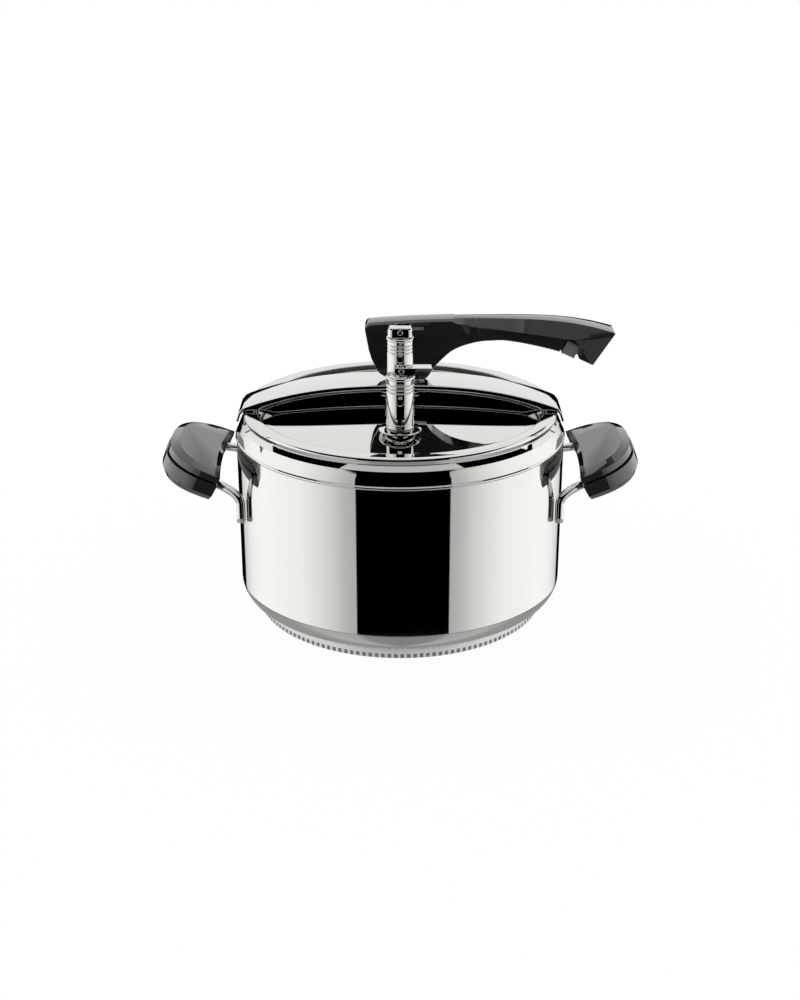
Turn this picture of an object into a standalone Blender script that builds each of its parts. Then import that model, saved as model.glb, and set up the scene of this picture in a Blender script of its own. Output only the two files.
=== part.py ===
"""Stovetop pressure cooker: pot, inner-fit lid, spring crossbar, clamping lever, two valves, two side grips.

Metres, +Z up, +X along the lever and the side grips, -Y towards the operating valve.
Rest pose: lever closed, lid pulled up against the rim, both valves shut.
"""

import math

import bmesh
import bpy
from mathutils import Vector

MM = 0.001
GAP = 0.3

# Pot, radii and heights in millimetres.
POT_STEPS = 48
LID_STEPS = 40
POT_R = 111.0
POT_WALL = 1.6
POT_FLOOR_Z = 7.8
CORNER_R = 14.0
BEAD_LOW_Z = 122.5
BEAD_HIGH_Z = 123.9
BEAD_R = 111.6
MOUTH_R = 96.6
RIM_TOP_Z = 141.2
RIM_UNDER_Z = 139.5

# Heat-spreading base.
BASE_R = 99.1
BASE_H = 7.4
BASE_SKIN = 0.9

# Lid: z of the top surface is LID_TOP_Z - LID_DOME * r * r.
LID_TOP_Z = 145.0
LID_DOME = 0.0007
LID_DOME_R = 95.0
LID_EDGE_R = 100.6
LID_SHEET = 1.5
GASKET_R = 103.4

# Crossbar: z of the top surface is BAR_TOP_Z - BAR_SAG * (|x| / BAR_SAG_X) ** BAR_POWER.
BAR_TOP_Z = 159.6
BAR_SAG = 14.8
BAR_SAG_X = 102.0
BAR_POWER = 2.5
BAR_HALF_WIDTH = 16.5
BAR_SHEET = 1.2
FLANGE_CLEAR = 0.5
FLANGE_RIM_CLEAR = 0.9
FLANGE_RISE_X = 84.0
FLANGE_RISE = 8.0

# Centre post and the lever pivot.
POST_R = 5.0
POST_BASE_Z = 130.0
POST_TOP_Z = 191.2
PIVOT_Z = 186.0
PIVOT_PIN_R = 2.5
HUB_R = 13.5
HUB_TOP_Z = 152.4

# Lever clamping cam: distance from pivot to crossbar falls by CAM_FALL per radian of opening.
LEVER_OPEN = math.radians(90.0)
LID_DROP = 2.6
CAM_FALL = LID_DROP / LEVER_OPEN
CAM_CLEAR = 0.35
CAM_H = PIVOT_Z - BAR_TOP_Z - CAM_CLEAR
SHELL_CLEAR = 0.35
FOOT_HALF = 8.6
FORK_OUT = 6.7
FORK_IN = 5.3
SLOT_HALF = 6.95

# Latch in the lever grip, slides along the lever's underside.
LATCH_SLOPE = math.atan2(-4.3, 8.9)
LATCH_TRAVEL = 3.0
LATCH_HALF = 6.4

# Operating valve, at X 0.
VALVE_Y = -62.0
VALVE_R = 9.0
VALVE_TOP_Z = 181.0
TAB_PIVOT_X = 0.8
TAB_PIVOT_Z = 184.4
TAB_H = 3.0
TAB_HALF = 4.4
TAB_LIFT = 1.6
TAB_OPEN = math.radians(90.0)

# Safety valve, at X 0.
SAFETY_Y = -27.0
SAFETY_R = 8.65
SAFETY_TOP_Z = 196.0
SAFETY_CAP_TOP_Z = 203.0
FLANGE_R = 13.6
FLANGE_LOW_Z = 144.7
FLANGE_TOP_Z = 145.8

# Side grips: a frame tilted up and outwards, on the bail's plane.
GRIP_X = 121.0
GRIP_Z = 101.0
GRIP_TILT = math.radians(21.0)
GRIP_LONG = 40.2
GRIP_HALF = 46.5
GRIP_POWER = 2.6
DISH = 2.6
WIRE_R = 2.9
WIRE_HALF = 36.0
WIRE_LONG = 30.0
WIRE_NORMAL = -3.6
SLIT = 0.9
LEG_X = 105.8
LEG_Y = 43.5
LEG_LOW_Z = 73.0
LEG_HIGH_Z = 86.0
LEG_BEND_Z = 93.5

STEEL = (0.78, 0.78, 0.77, 1.0)
BRUSHED = (0.62, 0.62, 0.61, 1.0)
ALUMINIUM = (0.70, 0.71, 0.72, 1.0)
BAKELITE = (0.018, 0.018, 0.019, 1.0)
BLACK = (0.03, 0.03, 0.03, 1.0)
SILICONE = (0.28, 0.28, 0.28, 1.0)


def clear_scene():
    for obj in list(bpy.data.objects):
        bpy.data.objects.remove(obj, do_unlink=True)


def material(name, colour, metallic, roughness):
    made = bpy.data.materials.new(name)
    made.use_nodes = True
    shader = made.node_tree.nodes["Principled BSDF"]
    shader.inputs["Base Color"].default_value = colour
    shader.inputs["Metallic"].default_value = metallic
    shader.inputs["Roughness"].default_value = roughness
    made.diffuse_color = colour
    return made


def add(name, points, faces, look, pivot=(0.0, 0.0, 0.0)):
    """One closed mesh from points in millimetres, with its origin at pivot."""
    origin = Vector(pivot) * MM
    mesh = bpy.data.meshes.new(name)
    mesh.from_pydata([tuple(Vector(p) * MM - origin) for p in points], [], faces)
    work = bmesh.new()
    work.from_mesh(mesh)
    bmesh.ops.recalc_face_normals(work, faces=work.faces)
    work.to_mesh(mesh)
    work.free()
    for face in mesh.polygons:
        face.use_smooth = True
    mesh.set_sharp_from_angle(angle=math.radians(32.0))
    obj = bpy.data.objects.new(name, mesh)
    obj.location = origin
    bpy.context.scene.collection.objects.link(obj)
    mesh.materials.append(material(name, *look))
    return obj


def lathe(name, profile, look, centre=(0.0, 0.0), steps=24, pivot=None):
    """Turns a closed (radius, z) loop about the vertical through centre."""
    points = []
    rings = []
    for radius, z in profile:
        count = 1 if radius == 0.0 else steps
        rings.append(range(len(points), len(points) + count))
        for i in range(count):
            turn = 2.0 * math.pi * i / steps
            x = centre[0] + radius * math.cos(turn)
            points.append((x, centre[1] + radius * math.sin(turn), z))
    faces = []
    for k, low in enumerate(rings):
        high = rings[(k + 1) % len(rings)]
        if len(low) == 1 and len(high) == 1:
            continue
        for i in range(steps):
            j = (i + 1) % steps
            corners = [low[i % len(low)], low[j % len(low)], high[j % len(high)], high[i % len(high)]]
            faces.append(tuple(dict.fromkeys(corners)))
    place = pivot or (centre[0], centre[1], 0.0)
    return add(name, points, faces, look, pivot=place)


def loft(name, rings, look, pivot=(0.0, 0.0, 0.0), closed=False):
    """Skins equal-length rings of points, with a flat cap on each end unless closed."""
    size = len(rings[0])
    points = [p for ring in rings for p in ring]
    faces = []
    for k in range(len(rings) if closed else len(rings) - 1):
        low = k * size
        high = ((k + 1) % len(rings)) * size
        for i in range(size):
            j = (i + 1) % size
            faces.append((low + i, low + j, high + j, high + i))
    if not closed:
        faces.append(tuple(range(size)))
        faces.append(tuple(range((len(rings) - 1) * size, len(rings) * size)))
    return add(name, points, faces, look, pivot=pivot)


def plate(name, outline, half, look, pivot=(0.0, 0.0, 0.0), middle=0.0):
    """An (x, z) outline extruded by half to each side of y = middle."""
    front = [(x, middle - half, z) for x, z in outline]
    back = [(x, middle + half, z) for x, z in outline]
    return loft(name, [front, back], look, pivot=pivot)


def tube_rings(path, radius, sides):
    """Rings of points round a path, carried along it without twist."""
    path = [Vector(p) for p in path]
    rings = []
    side = None
    for i, spot in enumerate(path):
        ahead = (path[min(i + 1, len(path) - 1)] - path[max(i - 1, 0)]).normalized()
        if side is None:
            side = ahead.orthogonal().normalized()
        side = (side - ahead * side.dot(ahead)).normalized()
        other = ahead.cross(side)
        ring = []
        for k in range(sides):
            turn = 2.0 * math.pi * k / sides
            ring.append(tuple(spot + radius * (math.cos(turn) * side + math.sin(turn) * other)))
        rings.append(ring)
    return rings


def rod(name, start, end, radius, look, sides=16, pivot=None):
    place = pivot or tuple((a + b) / 2.0 for a, b in zip(start, end))
    return loft(name, tube_rings([start, end], radius, sides), look, pivot=place)


def cutter(name, kind, *args, **kwargs):
    """A hidden solid that a Boolean takes away."""
    obj = kind("cut_" + name, *args, BLACK_LOOK, **kwargs)
    obj.hide_render = True
    obj.display_type = "WIRE"
    return obj


def cut(obj, tool):
    step = obj.modifiers.new(tool.name, "BOOLEAN")
    step.operation = "DIFFERENCE"
    step.solver = "EXACT"
    step.object = tool


def hex_outline(across_flats, centre):
    radius = across_flats / math.sqrt(3.0)
    outline = []
    for i in range(6):
        turn = math.pi * i / 3.0
        outline.append((centre[0] + radius * math.cos(turn), centre[1] + radius * math.sin(turn)))
    return outline


def hex_nut(name, centre, across_flats, low, high, hole_r, look):
    """A hexagon nut about a vertical axis, with a round hole through it."""
    outline = hex_outline(across_flats, centre)
    rings = [[(x, y, z) for x, y in outline] for z in (low, high)]
    nut = loft(name, rings, look, pivot=(centre[0], centre[1], 0.0))
    over = 2.0
    hole = ((centre[0], centre[1], low - over), (centre[0], centre[1], high + over))
    cut(nut, cutter(name, rod, *hole, hole_r, sides=20))
    return nut


def coil(name, centre, radius, low, high, turns, wire_r, look, axis=(0.0, 0.0, 1.0)):
    """A compression spring; centre is a point on its axis at distance 0."""
    axis = Vector(axis).normalized()
    side = axis.orthogonal().normalized()
    other = axis.cross(side)
    per_turn = 8
    path = []
    for i in range(turns * per_turn + 1):
        part = i / (turns * per_turn)
        turn = 2.0 * math.pi * i / per_turn
        along = low + wire_r + (high - low - 2.0 * wire_r) * part
        outward = math.cos(turn) * side + math.sin(turn) * other
        path.append(Vector(centre) + axis * along + radius * outward)
    place = tuple(Vector(centre) + axis * low)
    return loft(name, tube_rings(path, wire_r, 5), look, pivot=place)


def lid_z(radius):
    return LID_TOP_Z - LID_DOME * radius * radius


# Pot and base.


def pot_outer_profile():
    corner_z = POT_FLOOR_Z + CORNER_R
    profile = [(0.0, POT_FLOOR_Z)]
    for i in range(6):
        turn = math.radians(-90.0 + 18.0 * i)
        x = POT_R - CORNER_R + CORNER_R * math.cos(turn)
        profile.append((x, corner_z + CORNER_R * math.sin(turn)))
    profile += [(POT_R, BEAD_LOW_Z - 0.6), (BEAD_R, BEAD_LOW_Z), (BEAD_R, BEAD_HIGH_Z)]
    profile += [(110.8, 124.7), (109.2, 128.4), (107.7, 131.8), (104.9, 135.4), (105.5, 136.1)]
    profile += [(106.2, 139.2), (105.5, 140.5), (104.3, RIM_TOP_Z)]
    return profile + [(97.4, RIM_TOP_Z - 0.1)]


def pot_inner_profile():
    profile = [(MOUTH_R, 140.3), (97.4, RIM_UNDER_Z), (103.4, RIM_UNDER_Z), (104.6, 138.4)]
    profile += [(103.8, 135.9), (103.8, 134.6), (106.0, 131.6), (107.6, 127.9), (POT_R - POT_WALL, 123.4)]
    inner_r = CORNER_R - POT_WALL
    for i in range(6):
        turn = math.radians(-18.0 * i)
        x = POT_R - CORNER_R + inner_r * math.cos(turn)
        profile.append((x, POT_FLOOR_Z + CORNER_R + inner_r * math.sin(turn)))
    return profile + [(0.0, POT_FLOOR_Z + POT_WALL)]


def make_pot():
    lathe("pot_body", pot_outer_profile() + pot_inner_profile(), STEEL_LOOK, steps=POT_STEPS)
    tray = [(0.0, 0.0), (BASE_R - 0.6, 0.0), (BASE_R, 0.6), (BASE_R, BASE_H - 0.6), (BASE_R - 0.6, BASE_H)]
    tray += [(BASE_R - 2.0, BASE_H), (BASE_R - 2.0, BASE_SKIN), (0.0, BASE_SKIN)]
    lathe("base_cap", tray, BRUSHED_LOOK, steps=POT_STEPS)
    core_r = BASE_R - 2.0 - GAP
    low = BASE_SKIN + GAP
    core = [(0.0, low), (core_r, low), (core_r, BASE_H), (0.0, BASE_H)]
    lathe("base_core", core, ALUMINIUM_LOOK, steps=POT_STEPS)


# Side grips and bails.


def grip_point(side, along, across, normal):
    """A point of the tilted grip frame, in object coordinates; side is -1 or 1."""
    x = GRIP_X + along * math.cos(GRIP_TILT) - normal * math.sin(GRIP_TILT)
    z = GRIP_Z + along * math.sin(GRIP_TILT) + normal * math.cos(GRIP_TILT)
    return (side * x, across, z)


def grip_outline(start, length, half, dish, count=16):
    """(along, across) points: a rounded D whose straight side is dished by dish."""
    outline = []
    for i in range(count + 1):
        turn = math.pi * i / count - math.pi / 2.0
        c = max(math.cos(turn), 0.0)
        s = math.sin(turn)
        along = start + length * c ** (2.0 / GRIP_POWER)
        outline.append((along, math.copysign(half * abs(s) ** (2.0 / GRIP_POWER), s)))
    for i in range(1, 6):
        across = half * (1.0 - 2.0 * i / 6.0)
        outline.append((start + dish * (1.0 - (across / half) ** 2), across))
    return outline


def grip_shell(name, side, levels, look):
    """levels: (start, length, half, dish, normal at the inside, normal at the outside)."""
    rings = []
    for start, length, half, dish, inside, outside in levels:
        ring = []
        for along, across in grip_outline(start, length, half, dish):
            normal = inside + (outside - inside) * along / GRIP_LONG
            ring.append(grip_point(side, along, across, normal))
        rings.append(ring)
    return loft(name, rings, look, pivot=grip_point(side, 0.0, 0.0, 0.0))


def bail_path(side):
    """Front leg up the wall, out into the grip, round inside it and back to the rear leg."""
    loop = grip_outline(0.0, WIRE_LONG, WIRE_HALF, 0.0, count=16)[:17]
    middle = [Vector(grip_point(side, along, across, WIRE_NORMAL)) for along, across in loop]
    front_leg = [Vector((side * LEG_X, -LEG_Y, z)) for z in (LEG_LOW_Z, LEG_HIGH_Z)]
    entry = middle[0]
    bend = Vector((side * LEG_X, -LEG_Y, LEG_BEND_Z))
    front = list(front_leg)
    for i in range(1, 6):
        t = i / 6.0
        front.append(front_leg[-1] * (1 - t) ** 2 + bend * 2 * t * (1 - t) + entry * t * t)
    back = [Vector((p.x, -p.y, p.z)) for p in reversed(front)]
    return front + middle + back


def make_grips():
    for side, word in ((-1, "left"), (1, "right")):
        path = bail_path(side)
        pivot = (side * LEG_X, 0.0, LEG_LOW_Z)
        loft("bail_" + word, tube_rings(path, WIRE_R, 8), STEEL_LOOK, pivot=pivot)
        groove = cutter("groove_" + word, loft, tube_rings(path, WIRE_R + GAP, 8))
        upper = [(-1.0, GRIP_LONG - 0.6, GRIP_HALF, DISH, SLIT, SLIT)]
        upper.append((-1.0, GRIP_LONG - 0.6, GRIP_HALF, DISH, 5.2, 5.2))
        upper.append((2.9, GRIP_LONG - 9.7, GRIP_HALF - 7.0, DISH, 6.9, 8.8))
        lower = [(-1.0, GRIP_LONG + 0.4, GRIP_HALF, DISH, -SLIT, -SLIT)]
        lower.append((0.2, GRIP_LONG - 0.8, GRIP_HALF, DISH, -9.4, -9.9))
        lower.append((1.4, GRIP_LONG - 4.8, GRIP_HALF - 3.4, DISH, -13.2, -14.2))
        top = grip_shell("grip_upper_" + word, side, upper, BAKELITE_LOOK)
        bottom = grip_shell("grip_lower_" + word, side, lower, BAKELITE_LOOK)
        cut(bottom, groove)
        make_grip_screws(side, word, top, bottom)


def make_grip_screws(side, word, top, bottom):
    """Two screws clamp the shells on the bail from below; the head sits in a counterbore."""
    for across, end in ((-22.0, "front"), (22.0, "rear")):
        along = 18.0
        head = [grip_point(side, along, across, n) for n in (-12.0, -9.0)]
        shank = [grip_point(side, along, across, n) for n in (-10.0, 5.0)]
        key = word + "_" + end
        head_rings = tube_rings(head, 3.6, 16)
        shank_rings = tube_rings([head[1], shank[1]], 1.8, 16)
        pivot = head[0]
        loft("grip_screw_" + key, head_rings + shank_rings, STEEL_LOOK, pivot=pivot)
        bore = [grip_point(side, along, across, n) for n in (-20.0, -9.0 + GAP)]
        hole = [grip_point(side, along, across, n) for n in (-10.0, 5.0 + GAP)]
        bore_tool = cutter("bore_" + key, loft, tube_rings(bore, 3.6 + GAP, 16))
        hole_tool = cutter("hole_" + key, loft, tube_rings(hole, 1.8 + GAP, 16))
        cut(bottom, bore_tool)
        cut(bottom, hole_tool)
        cut(top, hole_tool)


# Crossbar.


def bar_top(x):
    return BAR_TOP_Z - BAR_SAG * (abs(x) / BAR_SAG_X) ** BAR_POWER


def flange_low(x):
    """Lower edge of the crossbar's side flanges: just clear of the lid, then of the rim, then nothing."""
    least = bar_top(x) - 1.5 * BAR_SHEET
    over_lid = lid_z(math.hypot(x, BAR_HALF_WIDTH)) + FLANGE_CLEAR
    over_rim = RIM_TOP_Z + FLANGE_RIM_CLEAR
    part = min(max((abs(x) - FLANGE_RISE_X) / FLANGE_RISE, 0.0), 1.0)
    return min(over_lid + (over_rim - over_lid) * part, least)


def bar_stations():
    """(x, top z, flange bottom z) from the left tip to the right one."""
    count = 20
    right = []
    for i in range(count // 2 + 1):
        x = BAR_SAG_X * 2.0 * i / count
        right.append((x, bar_top(x), flange_low(x)))
    for x, z in ((105.9, 142.9), (108.2, 139.9), (109.3, 136.6), (109.9, 134.8)):
        right.append((x, z, z - 1.5 * BAR_SHEET))
    return [(-x, top, low) for x, top, low in reversed(right[1:])] + right


def make_crossbar():
    """A pressed steel strip with a flange folded down along each side."""
    stations = bar_stations()
    rings = []
    for i, (x, top, low) in enumerate(stations):
        before = stations[max(i - 1, 0)]
        after = stations[min(i + 1, len(stations) - 1)]
        ahead = Vector((after[0] - before[0], after[1] - before[1])).normalized()
        under = (x + ahead.y * BAR_SHEET, top - ahead.x * BAR_SHEET)
        edge = (x + ahead.y * (top - low), min(low, under[1] - 0.3))
        half = BAR_HALF_WIDTH
        inner = half - BAR_SHEET
        ring = [(x, -half, top), (x, half, top), (edge[0], half, edge[1]), (edge[0], inner, edge[1])]
        ring += [(under[0], inner, under[1]), (under[0], -inner, under[1])]
        rings.append(ring + [(edge[0], -inner, edge[1]), (edge[0], -half, edge[1])])
    bar = loft("crossbar", rings, STEEL_LOOK)
    hole = ((0.0, 0.0, BAR_TOP_Z - 6.0), (0.0, 0.0, BAR_TOP_Z + 4.0))
    cut(bar, cutter("bar_hole", rod, *hole, POST_R + 0.6, sides=24))


# Lid, gasket, centre post.


def make_lid():
    top = [(LID_DOME_R * i / 5.0, lid_z(LID_DOME_R * i / 5.0)) for i in range(6)]
    edge_top = RIM_UNDER_Z - 1.7
    top += [(97.2, edge_top), (LID_EDGE_R, edge_top)]
    under = [(r, z - LID_SHEET) for r, z in reversed(top)]
    lid = lathe("lid_plate", under + top, STEEL_LOOK, steps=LID_STEPS)
    over = 8.0
    for name, centre, radius in (
        ("post_hole", (0.0, 0.0), POST_R + GAP),
        ("valve_hole", (0.0, VALVE_Y), 6.0 + GAP),
        ("safety_hole", (0.0, SAFETY_Y), 4.5 + GAP),
    ):
        low = (centre[0], centre[1], lid_z(80.0) - over)
        high = (centre[0], centre[1], LID_TOP_Z + over)
        cut(lid, cutter(name, rod, low, high, radius, sides=20))
    lip_top = RIM_UNDER_Z - GAP
    lip_low = edge_top + GAP
    under_low = edge_top - LID_SHEET - GAP
    seal = [(97.6, lip_top), (97.6, lip_low), (LID_EDGE_R + GAP, lip_low), (LID_EDGE_R + GAP, under_low)]
    seal += [(97.6, under_low), (97.6, under_low - 1.4), (GASKET_R - 0.8, under_low - 1.4)]
    seal += [(GASKET_R, under_low - 0.4), (GASKET_R, lip_top - 1.6), (GASKET_R - 1.2, lip_top)]
    lathe("lid_gasket", seal, SILICONE_LOOK, steps=LID_STEPS)


def make_post():
    low = POST_BASE_Z
    high = POST_TOP_Z
    shape = [(0.0, low), (POST_R - 0.8, low), (POST_R, low + 0.8), (POST_R, high - 2.6)]
    shape += [(POST_R - 1.0, high - 0.9), (POST_R - 2.6, high), (0.0, high)]
    post = lathe("centre_post", shape, STEEL_LOOK, steps=24)
    eye = ((0.0, -8.0, PIVOT_Z), (0.0, 8.0, PIVOT_Z))
    cut(post, cutter("pivot_eye", rod, *eye, PIVOT_PIN_R + GAP, sides=24))
    ring_in = POST_R + GAP
    hub = [(ring_in, 141.0), (HUB_R, 141.0), (HUB_R, HUB_TOP_Z - 1.0), (HUB_R - 1.0, HUB_TOP_Z)]
    hub_piece = lathe("post_collar", hub + [(ring_in, HUB_TOP_Z)], STEEL_LOOK, steps=32)
    cut(hub_piece, dome_ring((0.0, 0.0), POST_R, HUB_R + 1.0, "collar"))
    low = LID_TOP_Z - LID_SHEET - 0.1 - GAP - 1.6
    washer = [(ring_in, low), (11.0, low), (11.0, low + 1.6), (ring_in, low + 1.6)]
    lathe("post_washer", washer, STEEL_LOOK, steps=24)
    hex_nut("post_nut", (0.0, 0.0), 17.0, low - GAP - 7.0, low - GAP, ring_in, STEEL_LOOK)


# Valves.


def tube_side(top_z, radius, low):
    """Outer side of a valve tube, from its foot up, with a beaded top."""
    bead = radius + 0.4
    return [(radius, low), (radius, top_z - 1.8), (bead, top_z - 1.3), (bead, top_z - 0.4), (radius, top_z)]


def make_operating_valve():
    centre = (0.0, VALVE_Y)
    bore = 1.8
    base = [(bore, 134.0), (6.0, 134.0), (6.0, 141.0), (9.4, 141.0), (9.4, FLANGE_LOW_Z)]
    base += [(FLANGE_R, FLANGE_LOW_Z), (FLANGE_R, FLANGE_TOP_Z), (9.0, 146.4), (4.0, 146.4)]
    base += [(4.0, 148.6), (bore, 148.6)]
    # The part of the base above the lid follows the dome; the threaded stub below passes through it.
    seat = lathe("valve_base", base, STEEL_LOOK, centre=centre)
    cut(seat, dome_ring(centre, 6.0, 10.6, "valve"))
    inner = VALVE_R - 1.6
    wall = tube_side(VALVE_TOP_Z, VALVE_R, 146.7)
    tube = lathe("valve_tube", wall + [(inner, VALVE_TOP_Z), (inner, 146.7)], STEEL_LOOK, centre=centre)
    vent = ((0.0, VALVE_Y - 14.0, 165.4), (0.0, VALVE_Y - 4.0, 165.4))
    cut(tube, cutter("valve_vent", rod, *vent, 1.9, sides=16))
    hex_nut("valve_nut", centre, 17.0, 134.8, 139.4, 6.0 + GAP, STEEL_LOOK)
    head_r = inner - GAP
    top = TAB_PIVOT_Z - TAB_H - GAP
    head = [(2.5, 173.0), (head_r, 173.0), (head_r, top - 0.6), (head_r - 0.6, top), (2.5, top)]
    lathe("valve_head", head, STEEL_LOOK, centre=centre)
    stem = [(0.0, 150.6), (5.0, 150.6), (5.0, 152.6), (1.6, 152.6), (1.6, 176.0), (2.2, 176.6)]
    stem += [(2.2, 185.4), (1.4, 186.3), (0.0, 186.3)]
    place = (TAB_PIVOT_X, VALVE_Y, TAB_PIVOT_Z)
    rises = lathe("valve_stem", stem, STEEL_LOOK, centre=centre, steps=20)
    eye = [(TAB_PIVOT_X, VALVE_Y + y, TAB_PIVOT_Z) for y in (-8.0, 8.0)]
    eye_tool = cutter("tab_eye", rod, *eye, 1.1, sides=16)
    cut(rises, eye_tool)
    seal = [(0.0, 148.9), (4.6, 148.9), (4.6, 150.3), (0.0, 150.3)]
    lathe("valve_seal", seal, SILICONE_LOOK, centre=centre)
    coil("valve_spring", (0.0, VALVE_Y, 0.0), 4.0, 152.9, 172.7, 5, 0.5, STEEL_LOOK)
    pin = [(TAB_PIVOT_X, VALVE_Y + y, TAB_PIVOT_Z) for y in (-TAB_HALF - 0.2, TAB_HALF + 0.2)]
    rod("tab_pin", *pin, 0.8, STEEL_LOOK, pivot=place)
    make_release_tab(place, eye_tool)


def dome_ring(centre, inner, outer, name):
    """A ring under a valve flange whose top follows the lid's surface, leaving the seating gap."""
    steps = 24
    rings = []
    for radius, low in ((inner, True), (inner, False), (outer, False), (outer, True)):
        ring = []
        for i in range(steps):
            turn = 2.0 * math.pi * i / steps
            x = centre[0] + radius * math.cos(turn)
            y = centre[1] + radius * math.sin(turn)
            ring.append((x, y, 130.0 if low else lid_z(math.hypot(x, y)) + GAP))
        rings.append(ring)
    return cutter("seat_" + name, loft, rings, closed=True)


def make_release_tab(place, eye_tool):
    """Tab with a cam heel: turned up about its pin it pushes off the head and lifts the stem."""
    rise = TAB_LIFT / TAB_OPEN
    outline = []
    for i in range(9):
        turn = TAB_OPEN * i / 8.0
        reach = TAB_H + rise * turn
        x = -reach * math.sin(turn) - rise * math.cos(turn)
        outline.append((TAB_PIVOT_X + x, TAB_PIVOT_Z - reach * math.cos(turn) + rise * math.sin(turn)))
    outline += [(-3.6, 186.0), (-3.0, 186.5), (19.8, 186.5), (20.2, 186.1), (20.2, 185.5), (10.4, 185.4)]
    outline += [(9.5, 184.6), (8.9, 182.2), (8.1, TAB_PIVOT_Z - TAB_H), (4.0, TAB_PIVOT_Z - TAB_H)]
    tab = plate("release_tab", outline, TAB_HALF, STEEL_LOOK, pivot=place, middle=VALVE_Y)
    slot = [(-9.0, 176.0), (3.8, 176.0), (3.8, 192.0), (-9.0, 192.0)]
    cut(tab, cutter("tab_slot", plate, slot, 2.55, middle=VALVE_Y))
    cut(tab, eye_tool)


def ring_at(centre_y, half_x, half_y, power, z):
    """A level superellipse: round at power 2, nearly square at 6."""
    ring = []
    for i in range(24):
        turn = 2.0 * math.pi * i / 24
        c = math.cos(turn)
        s = math.sin(turn)
        x = math.copysign(half_x * abs(c) ** (2.0 / power), c)
        ring.append((x, centre_y + math.copysign(half_y * abs(s) ** (2.0 / power), s), z))
    return ring


def make_safety_valve():
    centre = (0.0, SAFETY_Y)
    bore = 1.6
    base = [(bore, 134.6), (4.5, 134.6), (4.5, 142.0), (10.0, 142.0), (10.0, 146.6), (9.4, 147.2)]
    base += [(3.6, 147.2), (3.6, 149.2), (bore, 149.2)]
    seat = lathe("safety_base", base, STEEL_LOOK, centre=centre)
    cut(seat, dome_ring(centre, 4.5, 11.0, "safety"))
    inner = SAFETY_R - 1.5
    wall = tube_side(SAFETY_TOP_Z, SAFETY_R, 147.5)
    tube = lathe("safety_tube", wall + [(inner, SAFETY_TOP_Z), (inner, 147.5)], STEEL_LOOK, centre=centre)
    vent = ((0.0, SAFETY_Y - 13.0, 182.7), (0.0, SAFETY_Y - 4.0, 182.7))
    cut(tube, cutter("safety_vent", rod, *vent, 1.8, sides=16))
    hex_nut("safety_nut", centre, 13.0, 135.6, 141.0, 4.5 + GAP, STEEL_LOOK)
    cap_r = inner - GAP
    top = SAFETY_CAP_TOP_Z
    rings = [ring_at(SAFETY_Y, cap_r, cap_r, 2.0, z) for z in (186.0, SAFETY_TOP_Z + 0.4)]
    rings += [ring_at(SAFETY_Y, 8.2, 5.9, 3.6, z) for z in (SAFETY_TOP_Z + 0.5, top - 2.4)]
    rings.append(ring_at(SAFETY_Y, 6.4, 4.9, 3.6, top))
    cap_piece = loft("safety_cap", rings, STEEL_LOOK, pivot=(0.0, SAFETY_Y, 0.0))
    cross = ((0.0, SAFETY_Y - 8.5, 200.0), (0.0, SAFETY_Y + 8.5, 200.0))
    cut(cap_piece, cutter("safety_cross", rod, *cross, 1.25, sides=16))
    shank = ((0.0, SAFETY_Y, 180.0), (0.0, SAFETY_Y, 194.3))
    cut(cap_piece, cutter("safety_socket", rod, *shank, 1.6 + GAP, sides=16))
    rod("safety_pin", (0.0, SAFETY_Y - 6.3, 200.0), (0.0, SAFETY_Y + 6.3, 200.0), 0.95, STEEL_LOOK)
    plunger = [(0.0, 151.2), (5.0, 151.2), (5.0, 153.2), (1.6, 153.2), (1.6, 194.0), (0.0, 194.0)]
    lathe("safety_plunger", plunger, STEEL_LOOK, centre=centre, steps=20)
    seal = [(0.0, 149.5), (4.6, 149.5), (4.6, 150.9), (0.0, 150.9)]
    lathe("safety_seal", seal, SILICONE_LOOK, centre=centre)
    guide = [(2.1, 176.0), (cap_r, 176.0), (cap_r, 178.0), (2.1, 178.0)]
    lathe("safety_guide", guide, STEEL_LOOK, centre=centre)
    coil("safety_spring", (0.0, SAFETY_Y, 0.0), 4.0, 153.5, 175.7, 5, 0.5, STEEL_LOOK)


# Lever.


def between(x, table):
    """Straight-line value of a short (x, value) list."""
    if x <= table[0][0]:
        return table[0][1]
    for (x0, v0), (x1, v1) in zip(table, table[1:]):
        if x <= x1:
            return v0 + (v1 - v0) * (x - x0) / (x1 - x0)
    return table[-1][1]


LEVER_LEFT = [(-23.2, 195.0), (-21.6, 186.0), (-20.0, 177.3), (-12.1, 161.35)]
LEVER_UNDER = [(-12.1, 161.35), (16.2, 161.35), (18.9, 163.7), (22.1, 169.0), (26.4, 173.8), (33.0, 180.0)]
LEVER_UNDER += [(39.0, 183.4), (46.1, 185.8), (52.7, 187.3), (60.6, 187.9), (69.2, 187.6), (85.8, 184.8)]
LEVER_UNDER += [(103.8, 180.4), (115.9, 176.2), (128.0, 170.7)]


def lever_crown(x):
    """Height of the top surface on the centre line."""
    if x < 50.0:
        return 202.7 - 2.8 * ((50.0 - x) / 70.0) ** 2
    return 202.7 - 8.6 * ((x - 50.0) / 90.0) ** 3.6


def cam_point(turn, clear):
    """Point of the curve that stays clear of the crossbar while the lever opens and the lid drops."""
    reach = CAM_H - clear - CAM_FALL * turn
    x = -reach * math.sin(turn) + CAM_FALL * math.cos(turn)
    return (x, PIVOT_Z - reach * math.cos(turn) - CAM_FALL * math.sin(turn))


def lever_under(x):
    """Lowest point of the lever at x, relieved where the foot swings past the crossbar."""
    low = between(x, LEVER_LEFT) if x < LEVER_UNDER[0][0] else between(x, LEVER_UNDER)
    if x < CAM_FALL:
        curve = [cam_point(math.radians(a), SHELL_CLEAR) for a in range(60, -1, -4)]
        low = max(low, between(x, curve))
    return low


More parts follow.
